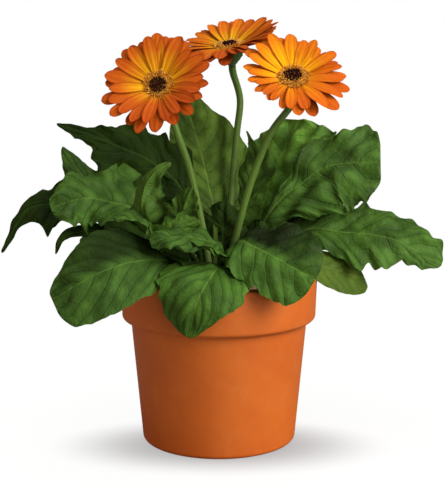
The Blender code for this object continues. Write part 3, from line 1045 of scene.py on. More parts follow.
def noted(mesh: bpy.types.Mesh) -> bpy.types.Mesh:
    """Note each vertex's share of the part's height as "along".

    Args:
        mesh: The part.

    Returns:
        The same mesh.
    """
    heights = np.array([v.co.z for v in mesh.vertices])
    low, high = heights.min(), heights.max()
    set_attribute(mesh, "along", (heights - low) / (high - low))
    return mesh


def bud(radius: float, height: float) -> bpy.types.Mesh:
    """A closed floret bud: a small pear that stands on the origin."""
    return noted(turned("bud", [
        (0.0, height), (0.55 * radius, 0.93 * height), (radius, 0.68 * height),
        (0.75 * radius, 0.3 * height), (0.5 * radius, 0.0), (0.0, 0.0)], 6))


def stamen(radius: float, height: float) -> bpy.types.Mesh:
    """A thread with a swollen tip, standing on the origin."""
    return noted(turned("stamen", [
        (0.0, height), (1.3 * radius, 0.95 * height), (1.5 * radius, 0.86 * height),
        (0.8 * radius, 0.78 * height), (0.7 * radius, 0.0), (0.0, 0.0)], 5))


def crumb(seed: int) -> bpy.types.Mesh:
    """A lump of growing mix: a small ball of 1 mm radius knocked out of shape.

    Args:
        seed: Picks its shape.

    Returns:
        Its mesh.
    """
    ball = bmesh.new()
    bmesh.ops.create_icosphere(ball, subdivisions=2, radius=MM)
    for vert in ball.verts:
        push = noise.noise(vert.co * (0.9 / MM) + Vector((seed * 7.1, 0, 0)))
        vert.co *= 1.0 + 0.45 * push
        vert.co.z *= 0.7
    mesh = poured("crumb", ball)
    mesh.shade_smooth()
    return mesh


# ---- Pot, mix and crown ----


def arc(middle: tuple, radius: float, start: float, end: float, count: int) -> list:
    """Points of an arc in a profile's plane, from one angle to another."""
    angles = [math.radians(start + (end - start) * i / (count - 1)) for i in range(count)]
    return [(middle[0] + radius * math.cos(a), middle[1] + radius * math.sin(a))
            for a in angles]


@dataclass
class Pot:
    """A round tapered pot with a deep plain rim band and drain holes in its floor.

    lip and bead: roundings of the rim's top edge and of the band's lower edge.
    """

    rim_radius: float = 81.2
    rim_top: float = 139.0
    rim_band: float = 36.0
    body_radius: float = 72.8
    foot_radius: float = 64.0
    foot_round: float = 4.0
    lip: float = 2.5
    bead: float = 3.5
    wall: float = 6.0
    floor: float = 6.0
    drain_radius: float = 2.0
    drain_circle: float = 34.0
    drain_count: int = 6
    segments: int = 160

    @property
    def rim_low(self) -> float:
        """Height of the lower edge of the rim band."""
        return self.rim_top - self.rim_band

    @property
    def taper(self) -> float:
        """Growth of the wall's radius with height."""
        return (self.body_radius - self.foot_radius) / (self.rim_low - self.foot_round)

    def profile(self) -> list:
        """Draw the section of the wall.

        Returns:
            Its points, from the inner floor over the rim and down to the foot.
        """
        foot = self.foot_radius - self.wall
        rim = self.body_radius - self.wall + self.taper * self.rim_band
        points = [(0.0, self.floor)]
        points += arc((foot - 3.0, self.floor + 3.0), 3.0, -90, 0, 5)
        points += [(foot + (rim - foot) * k / 8, self.floor + 3.0
                    + (self.rim_top - 5.0 - self.floor) * k / 8) for k in range(1, 9)]
        points += arc((rim + 2.0, self.rim_top - 2.0), 2.0, 180, 90, 6)[1:]
        points += arc((self.rim_radius - self.lip, self.rim_top - self.lip), self.lip,
                      90, 0, 7)
        points += arc((self.rim_radius - self.bead - 1.0, self.rim_low + self.bead),
                      self.bead, 0, -75, 8)
        # a narrow shadow line where the band was pressed onto the body
        points += [(self.body_radius + 0.9, self.rim_low - 0.6),
                   (self.body_radius + 0.15, self.rim_low - 1.4),
                   (self.body_radius, self.rim_low - 3.0)]
        points += [(self.body_radius + (self.foot_radius - self.body_radius) * k / 6,
                    self.rim_low - 3.0 + (self.foot_round - self.rim_low + 3.0) * k / 6)
                   for k in range(1, 6)]
        points += arc((self.foot_radius - self.foot_round, self.foot_round),
                      self.foot_round, 0, -90, 7)
        # the underside is turned in a shallow step, so the pot stands on a ring
        return points + [(self.foot_radius - 9.0, 0.0), (self.foot_radius - 10.5, 0.6),
                         (0.0, 0.6)]

    def drain_pins(self) -> bpy.types.Object:
        """Set a pin where each drain hole goes.

        Returns:
            The pins in one object.
        """
        pins = bmesh.new()
        radius = self.drain_radius * MM
        for k in range(self.drain_count):
            spot = Matrix.Rotation(TURN * k / self.drain_count, 4, "Z") @ Matrix.Translation(
                (self.drain_circle * MM, 0, self.floor / 2 * MM))
            bmesh.ops.create_cone(pins, cap_ends=True, segments=24, radius1=radius,
                                  radius2=radius, depth=3 * self.floor * MM, matrix=spot)
        return piece("drain_pins", poured("drain_pins", pins))

    def build(self, finish: bpy.types.Material) -> None:
        """Turn the wall and cut the drain holes.

        Args:
            finish: Finish of the pot.
        """
        item = piece("pot_shell", turned("pot_shell", self.profile(), self.segments), finish)
        pins = self.drain_pins()
        cut = item.modifiers.new("drain", "BOOLEAN")
        cut.object = pins
        cut.operation = "DIFFERENCE"
        cut.solver = "EXACT"
        settle(item)
        bpy.data.objects.remove(pins)
        attach(item, "pot", "pot")


@dataclass
class GrowingMix:
    """The bed of growing mix in the pot, lumpy on top, strewn with crumbs and perlite.

    edge and middle: heights of the top. level: radius within which it lies level. gap: room
    to the pot.
    """

    pot: Pot
    edge: float = 120.0
    middle: float = 124.6
    level: float = 36.0
    gap: float = 0.4
    rings: int = 34
    segments: int = 120

    def outer(self, height: float) -> float:
        """Radius of the bed at a height, just clear of the pot's wall."""
        foot = self.pot.foot_radius - self.pot.wall - 1.5 * self.gap
        return foot + self.pot.taper * (height - self.pot.floor)

    def top_height(self, radius: float, turn: float) -> float:
        """Height of the lumpy surface.

        Args:
            radius: Distance from the axis.
            turn: Angle round it, in radians.

        Returns:
            The height there.
        """
        slope = float(eased(radius, self.level, self.outer(self.edge)))
        spot = Vector((radius * math.cos(turn), radius * math.sin(turn), 0.0))
        lumps = noise.fractal(spot * 0.16, 1.0, 2.0, 4)
        return self.middle + (self.edge - self.middle) * slope + min(1.3 * lumps, 0.3)

    def ring(self, radius: float, height: float | None = None) -> list:
        """Points round the bed, on its lumpy top where no height is given."""
        turns = [TURN * k / self.segments for k in range(self.segments)]
        return [(radius * math.cos(turn), radius * math.sin(turn),
                 self.top_height(radius, turn) if height is None else height)
                for turn in turns]

    def ends(self) -> list:
        """Numbers of each two neighbours round a ring."""
        return [(k, (k + 1) % self.segments) for k in range(self.segments)]

    def build(self, mix: bpy.types.Material, perlite: bpy.types.Material,
              scatter: Scatter) -> None:
        """Fill the bed and strew its surface.

        Args:
            mix: Finish of the bed, its crumbs and its fibres.
            perlite: Finish of the white grains.
            scatter: The tree that strews them.
        """
        rim = self.outer(self.edge) - 0.4
        points = [(0.0, 0.0, self.top_height(0.0, 0.0))]
        for number in range(1, self.rings + 1):
            points += self.ring(rim * number / self.rings)
        starts = [1 + number * self.segments for number in range(self.rings + 3)]
        faces = []
        for k, j in self.ends():
            faces.append((0, 1 + k, 1 + j))
            faces += [(low + k, high + k, high + j, low + j)
                      for low, high in zip(starts, starts[1:self.rings])]
        top = plain_mesh("mix_top", points, faces)
        for height in (self.edge - 3.0, 60.0, self.pot.floor + self.gap):
            points += self.ring(self.outer(height), height)
        for high, low in zip(starts[self.rings - 1:], starts[self.rings:]):
            faces += [(high + k, low + k, low + j, high + j) for k, j in self.ends()]
        faces.append(tuple(range(starts[-1] + self.segments - 1, starts[-1] - 1, -1)))
        attach(piece("mix_bed", plain_mesh("mix_bed", points, faces), mix), "soil", "soil")

        with Parts(*(crumb(k) for k in range(4))) as lumps:
            for name, density, wild, small, large, seed, finish in (
                    ("mix_crumbs", 70000.0, 0.7, 0.45, 1.7, 3, mix),
                    ("perlite_grains", 5200.0, 0.9, 0.7, 1.5, 8, perlite)):
                attach(scatter.grow(name, top.copy(), density=density, wild=wild,
                                    low_size=small, high_size=large, kinds=4, seed=seed,
                                    parts=lumps, finish=finish), "soil")
        with Parts(*(Strap(7.0 + k, 0.7, root=0.8, droop=35 + 12 * k, twist=30, thick=0.25,
                           rows=7, cols=4, seed=k).mesh() for k in range(3))) as threads:
            attach(scatter.grow("mix_fibres", top, density=9000.0, wild=0.5, low_size=0.5,
                                high_size=1.2, kinds=3, seed=5, parts=threads, finish=mix),
                   "soil")


@dataclass
class Crown:
    """The short woolly crown that every stalk springs from."""

    radius: float = 34.0
    top: float = 131.0
    foot: float = 125.4
    segments: int = 120

    def ripple(self, radius: float, turn: float, height: float) -> float:
        """Bulge of the old leaf bases round the crown, none near its middle."""
        lobes = 0.9 * math.sin(11 * turn) + 0.6 * math.sin(17 * turn + 1.3)
        return lobes * radius / self.radius - 0.6

    def build(self, finish: bpy.types.Material, scatter: Scatter) -> None:
        """Turn the crown and cover it in fibres and old leaf bases.

        Args:
            finish: Finish of all three.
            scatter: The tree that strews them.
        """
        edge = self.radius - 1.4
        profile = [(0.0, self.top)]
        profile += [(edge * k / 12, self.top - 0.3 * (k % 2)) for k in range(1, 11)]
        profile += arc((edge - 2.8, self.top - 2.8), 2.8, 80, 0, 5)
        profile += [(edge - 0.6, self.foot + 1.0), (edge - 1.2, self.foot), (0.0, self.foot)]
        mesh = turned("crown_body", profile, self.segments, self.ripple)
        host = mesh.copy()
        attach(piece("crown_body", mesh, finish), "crown", "crown")
        with Parts(*(Strap(6.0 + 1.5 * k, 0.5, root=0.9, droop=50 + 15 * k, twist=20,
                           thick=0.2, rows=6, cols=3, seed=k).upright()
                     for k in range(3))) as wool:
            attach(scatter.grow("crown_fibres", host.copy(), density=110000.0, wild=0.6,
                                low_size=0.5, high_size=1.1, kinds=3, seed=11, parts=wool,
                                finish=finish), "crown")
        with Parts(*(Strap(9.0, 4.2, root=1.0, droop=12, hollow=0.9, point=3.0, thick=1.4,
                           rows=9, cols=7, seed=k).upright() for k in range(2))) as stubs:
            attach(scatter.grow("old_leaf_bases", host, density=4200.0, wild=0.5,
                                low_size=0.5, high_size=1.0, kinds=2, seed=2, parts=stubs,
                                finish=finish), "crown")


# ---- Leaves ----


class Rib:
    """A leaf's stalk and midrib: its points, directions and side direction by length."""

    COUNT = 400
    TANGENT_SPAN = 0.07  # share of the rib over which its direction is averaged

    def __init__(self, points: tuple) -> None:
        """Measure the curve.

        Args:
            points: What it runs through, in order.
        """
        self.places = np.linspace(0, len(points) - 1, self.COUNT)
        self.points = through(points, self.places)
        steps = np.linalg.norm(np.diff(self.points, axis=0), axis=1)
        self.lengths = np.concatenate([[0.0], np.cumsum(steps)])
        self.along = self.averaged_directions()
        self.side = self.carried_sides(np.subtract(points[-1], points[0]))

    def averaged_directions(self) -> np.ndarray:
        """Average the rib's direction, so that the blade does not crease.

        Returns:
            The direction at each point.
        """
        span = int(self.COUNT * self.TANGENT_SPAN)
        run = np.arange(1, span + 1)[:, None]
        before = self.points[0] - (self.points[1] - self.points[0]) * run[::-1]
        after = self.points[-1] + (self.points[-1] - self.points[-2]) * run
        padded = np.vstack([before, self.points, after])
        along = padded[2 * span:] - padded[:-2 * span]
        return along / np.linalg.norm(along, axis=1)[:, None]

    def carried_sides(self, outward: np.ndarray) -> np.ndarray:
        """The right hand side at each point.

        Args:
            outward: The leaf's way out from the crown, where its sides are level.

        Returns:
            The side directions, carried along the rib from there.
        """
        side = np.array([outward[1], -outward[0], 0.0])
        sides = np.zeros_like(self.along)
        for i, way in enumerate(self.along):
            side = side - (side @ way) * way
            side = side / np.linalg.norm(side)
            sides[i] = side
        return sides

    def at(self, lengths: np.ndarray) -> tuple:
        """What the rib does along the way.

        Args:
            lengths: Where, measured from the crown.

        Returns:
            Centre, direction, side and upper normal there.
        """
        centre, along, side = (
            np.stack([np.interp(lengths, self.lengths, table[:, k]) for k in range(3)], -1)
            for table in (self.points, self.along, self.side))
        along /= np.linalg.norm(along, axis=1)[:, None]
        side -= np.sum(side * along, axis=1)[:, None] * along
        side /= np.linalg.norm(side, axis=1)[:, None]
        return centre, along, side, np.cross(side, along)


class Age(Enum):
    """How old a leaf is and how much painted light or shade its finish carries."""

    FRESH = "fresh"
    GROWN = "grown"
    DULL = "dull"
    SHELTERED = "sheltered"
    SHADED = "shaded"
    OLIVE = "olive"
    YOUNG = "young"


@dataclass(frozen=True)
class Leaf:
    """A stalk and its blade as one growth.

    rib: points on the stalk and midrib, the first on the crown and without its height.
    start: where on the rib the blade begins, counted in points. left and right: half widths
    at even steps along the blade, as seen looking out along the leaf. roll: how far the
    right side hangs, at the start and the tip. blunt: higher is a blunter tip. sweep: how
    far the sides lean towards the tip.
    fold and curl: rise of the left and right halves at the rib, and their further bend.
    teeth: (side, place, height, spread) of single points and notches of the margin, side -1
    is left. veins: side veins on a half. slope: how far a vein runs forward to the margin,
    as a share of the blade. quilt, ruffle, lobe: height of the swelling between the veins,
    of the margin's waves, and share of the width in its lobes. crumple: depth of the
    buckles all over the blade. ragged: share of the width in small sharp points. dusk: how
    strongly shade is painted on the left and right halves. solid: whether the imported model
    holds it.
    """

    name: str
    rib: tuple
    start: float
    left: tuple
    right: tuple
    roll: tuple = (0, 0)
    blunt: float = 8
    sweep: float = 0.0
    fold: tuple = (0, 0)
    curl: tuple = (0, 0)
    teeth: tuple = ()
    age: Age = Age.GROWN
    veins: float = 8.0
    slope: float = 0.24
    quilt: float = 1.1
    ruffle: float = 1.6
    lobe: float = 0.05
    crumple: float = 0.8
    ragged: float = 0.06
    painted_dusk: tuple = (0.0, 0.0)
    solid: bool = True
    seed: int = 0

    STALK_ROWS = 16
    ROWS = 92
    HALF_COLS = 17
    STALK_RADIUS = 2.4
    BLADE_HALF = 0.3
    TIP = 0.988
    ROOT_HEIGHT = 131.4

    def margin(self, place: np.ndarray, side: int, waves: tuple) -> np.ndarray:
        """Half width of one side along the blade, with its lobes and teeth.

        Args:
            place: Shares of the blade's length.
            side: 1 for the right side, -1 for the left.
            waves: The leaf's own starts of its waves, in radians.

        Returns:
            The half width at each place.
        """
        table = self.right if side > 0 else self.left
        half = run_of(table, place) * np.sqrt(np.clip(1 - place**self.blunt, 0, 1))
        turn = TURN * self.veins * (place - self.slope)
        lobes = 0.65 * np.cos(turn) + 0.35 * np.sin(0.5 * turn + waves[0])
        half = half * (1 + self.lobe * lobes * eased(place, 0.1, 0.3))
        dice = np.random.default_rng(2 * self.seed + side)
        torn = np.zeros_like(place)
        for rate in (5.0, 9.0, 16.0):
            saw = (place * rate * dice.uniform(0.85, 1.15) + dice.uniform()) % 1.0
            torn += (1 - np.abs(2 * saw - 1)) * 2 * dice.uniform(0.3, 1.0) * 7 / rate
        half = half * (1 + self.ragged * (torn - 1.0) * eased(place, 0.05, 0.2))
        for where, spot, height, spread in self.teeth:
            if where == side:
                half = half + height * np.clip(1 - np.abs(place - spot) / spread, 0, 1)**1.4
        return np.maximum(half, 0.5)

    def relief(self, a: np.ndarray, place: np.ndarray, phase: np.ndarray,
               half: np.ndarray, waves: tuple) -> np.ndarray:
        """Rise of the blade's middle surface from its plain form.

        Args:
            a: Share of the way from the rib, negative on the left.
            place: Share of the blade's length.
            phase: Count of side veins up to each point.
            half: Half width there.
            waves: The leaf's own starts of its waves, in radians.

        Returns:
            The rise at each point of the grid.
        """
        far = np.abs(a)
        gap = np.abs(phase - np.round(phase)) * 2
        pillow = self.quilt * (1 - (1 - gap)**2 * (1 + 0.3 * gap))
        pillow = pillow * eased(far, 0.0, 0.2) * (1 - far**5) * np.clip(half / 18, 0.2, 1)
        turn = TURN * self.veins * (place - self.slope * far) * 0.5
        wave = (np.sin(turn + waves[1] + np.sign(a) * waves[2])
                + 0.5 * np.sin(2.3 * turn + waves[3]))
        edge = self.ruffle * wave * far**2.4 * np.clip(half / 16, 0.25, 1.2)
        warp = 0.6 * self.ruffle * np.sin(5.2 * place + waves[4] + 1.1 * a) * far
        return (pillow + edge + warp + self.buckles(a * half, place)) * eased(place, 0.02, 0.2)

    def buckles(self, across: np.ndarray, place: np.ndarray) -> np.ndarray:
        """Rise of the buckles: crossed waves one to three centimetres long.

        Args:
            across: Distance from the rib, negative on the left.
            place: Share of the blade's length.

        Returns:
            The rise at each point of the grid.
        """
        dice = np.random.default_rng(self.seed + 50)
        run = place * self.blade_length
        total = np.zeros_like(across)
        for number in range(9):
            span, turn = dice.uniform(11, 30), dice.uniform(0, TURN)
            wave = np.cos(TURN * (across * math.cos(turn) + run * math.sin(turn)) / span
                          + dice.uniform(0, TURN) + 0.6 * np.sin(across / 9 + number))
            total += wave * span / 24
        return self.crumple * total / 2.2 * np.clip(np.abs(across) / 4, 0, 1)

    @property
    def blade_length(self) -> float:
        """Rough length of the blade, straight from point to point."""
        knots = np.asarray(self.rib[1:], float)
        return float(np.linalg.norm(np.diff(knots, axis=0), axis=1).sum())

    def mesh(self) -> bpy.types.Mesh:
        """Lay the leaf out in rows along its rib.

        Returns:
            The closed leaf, from its round stalk to its thin veined blade.
        """
        rib = Rib(((*self.rib[0], self.ROOT_HEIGHT), *self.rib[1:]))
        waves = tuple(np.random.default_rng(self.seed).uniform(0, TURN, 6))
        begin = float(np.interp(self.start, rib.places, rib.lengths))
        total = rib.lengths[-1]
        share = np.linspace(0, 1, self.ROWS)
        blade = (0.6 * share + 0.4 * np.sin(share * math.pi / 2)) * self.TIP
        lengths = np.concatenate([np.linspace(0, begin, self.STALK_ROWS, endpoint=False),
                                  begin + blade * (total - begin)])
        spot = np.clip((lengths - begin) / (total - begin), 0.0, 1.0)
        centre, along, side, up = rib.at(lengths)
        roll = np.radians(self.roll[0] + (self.roll[1] - self.roll[0]) * spot)
        roll = (roll * np.clip(lengths / max(begin, 1.0), 0.0, 1.0))[:, None]
        side, up = (side * np.cos(roll) - up * np.sin(roll),
                    up * np.cos(roll) + side * np.sin(roll))

        steps = np.arange(-self.HALF_COLS, self.HALF_COLS + 1) / self.HALF_COLS
        run = np.sign(steps) * np.abs(steps)**1.15
        a, place = np.meshgrid(run, spot)
        halves = np.where(a > 0, self.margin(spot, 1, waves)[:, None],
                          self.margin(spot, -1, waves)[:, None])
        swollen = self.STALK_RADIUS * (1 + 0.35 * np.exp(-lengths / 9.0))
        halves = np.where(place > 0, halves, swollen[:, None])
        blend = np.clip(place / 0.2, 0, 1)
        flat = eased(place, 0, 0.07)

        fold = np.where(a > 0, self.fold[1], self.fold[0])
        curl = np.where(a > 0, self.curl[1], self.curl[0])
        tilt = np.radians(fold + 0.5 * curl * np.abs(a)) * blend
        reach = np.abs(a) * halves
        bow = 0.07 * np.sin(2.6 * place * self.veins + np.sign(a) + waves[5])
        phase = self.veins * (place - self.slope * np.abs(a)**1.25) + bow
        phase = phase + np.where(a > 0, 0.5, 0.12)
        lift = self.relief(a, place, phase, halves, waves)
        middle = (centre[:, None] + side[:, None] * (np.sign(a) * reach * np.cos(tilt))[..., None]
                  + up[:, None] * (reach * np.sin(tilt) + lift)[..., None]
                  + along[:, None] * (self.sweep * reach * blend)[..., None])

        round_half = swollen[:, None] * np.sqrt(np.clip(1 - a * a, 0, 1))
        gap = np.abs(phase - np.round(phase)) * 2
        channel = np.exp(-(reach / 0.9)**2) * (1.0 - 0.7 * place)
        ridges = np.exp(-(gap / 0.22)**2) * eased(np.abs(a), 0.02, 0.12) * (1 - np.abs(a))
        upper = self.BLADE_HALF * (1 - a**8) - 0.35 * channel * flat
        lower = self.BLADE_HALF * (1 - a**8) + flat * (1.5 * channel + 0.4 * ridges)
        groove = 0.9 * np.exp(-(a / 0.3)**2)
        top = (1 - flat) * (round_half - groove) + flat * upper
        low = (1 - flat) * round_half + flat * lower
        tip = rib.points[-1] + up[-1] * lift[-1, self.HALF_COLS]
        lie = np.stack([a * halves, lengths[:, None] + 0 * a, 0 * a], -1) / 100
        tone = 0.12 * math.sin(self.seed * 2.7)
        # painted shade: darker near the crown, and on the halves that dusk names, less so towards
        # the tip
        shelter = np.maximum(0.5 * (1 - eased(place, 0.0, 0.3)),
                             np.where(a > 0, self.painted_dusk[1], self.painted_dusk[0])
                             * eased(np.abs(a), -0.05, 0.3)
                             * (1 - 0.6 * eased(place, 0.45, 1.0)))
        return shell("blade_" + self.name, middle + up[:, None] * top[..., None],
                     middle - up[:, None] * low[..., None], tip, along=place, across=a,
                     phase=phase, rib_gap=reach, lie=lie, tone=tone, shelter=shelter)


REAR = {"blunt": 6, "ruffle": 2.0, "lobe": 0.06, "crumple": 1.2}
# inner blades: leaves that grow in the heart of the rosette, given the SHADED finish so that they
# fill it with painted shade
INNER = {"veins": 6, "ruffle": 2.0, "crumple": 1.4, "age": Age.SHADED, "solid": False}
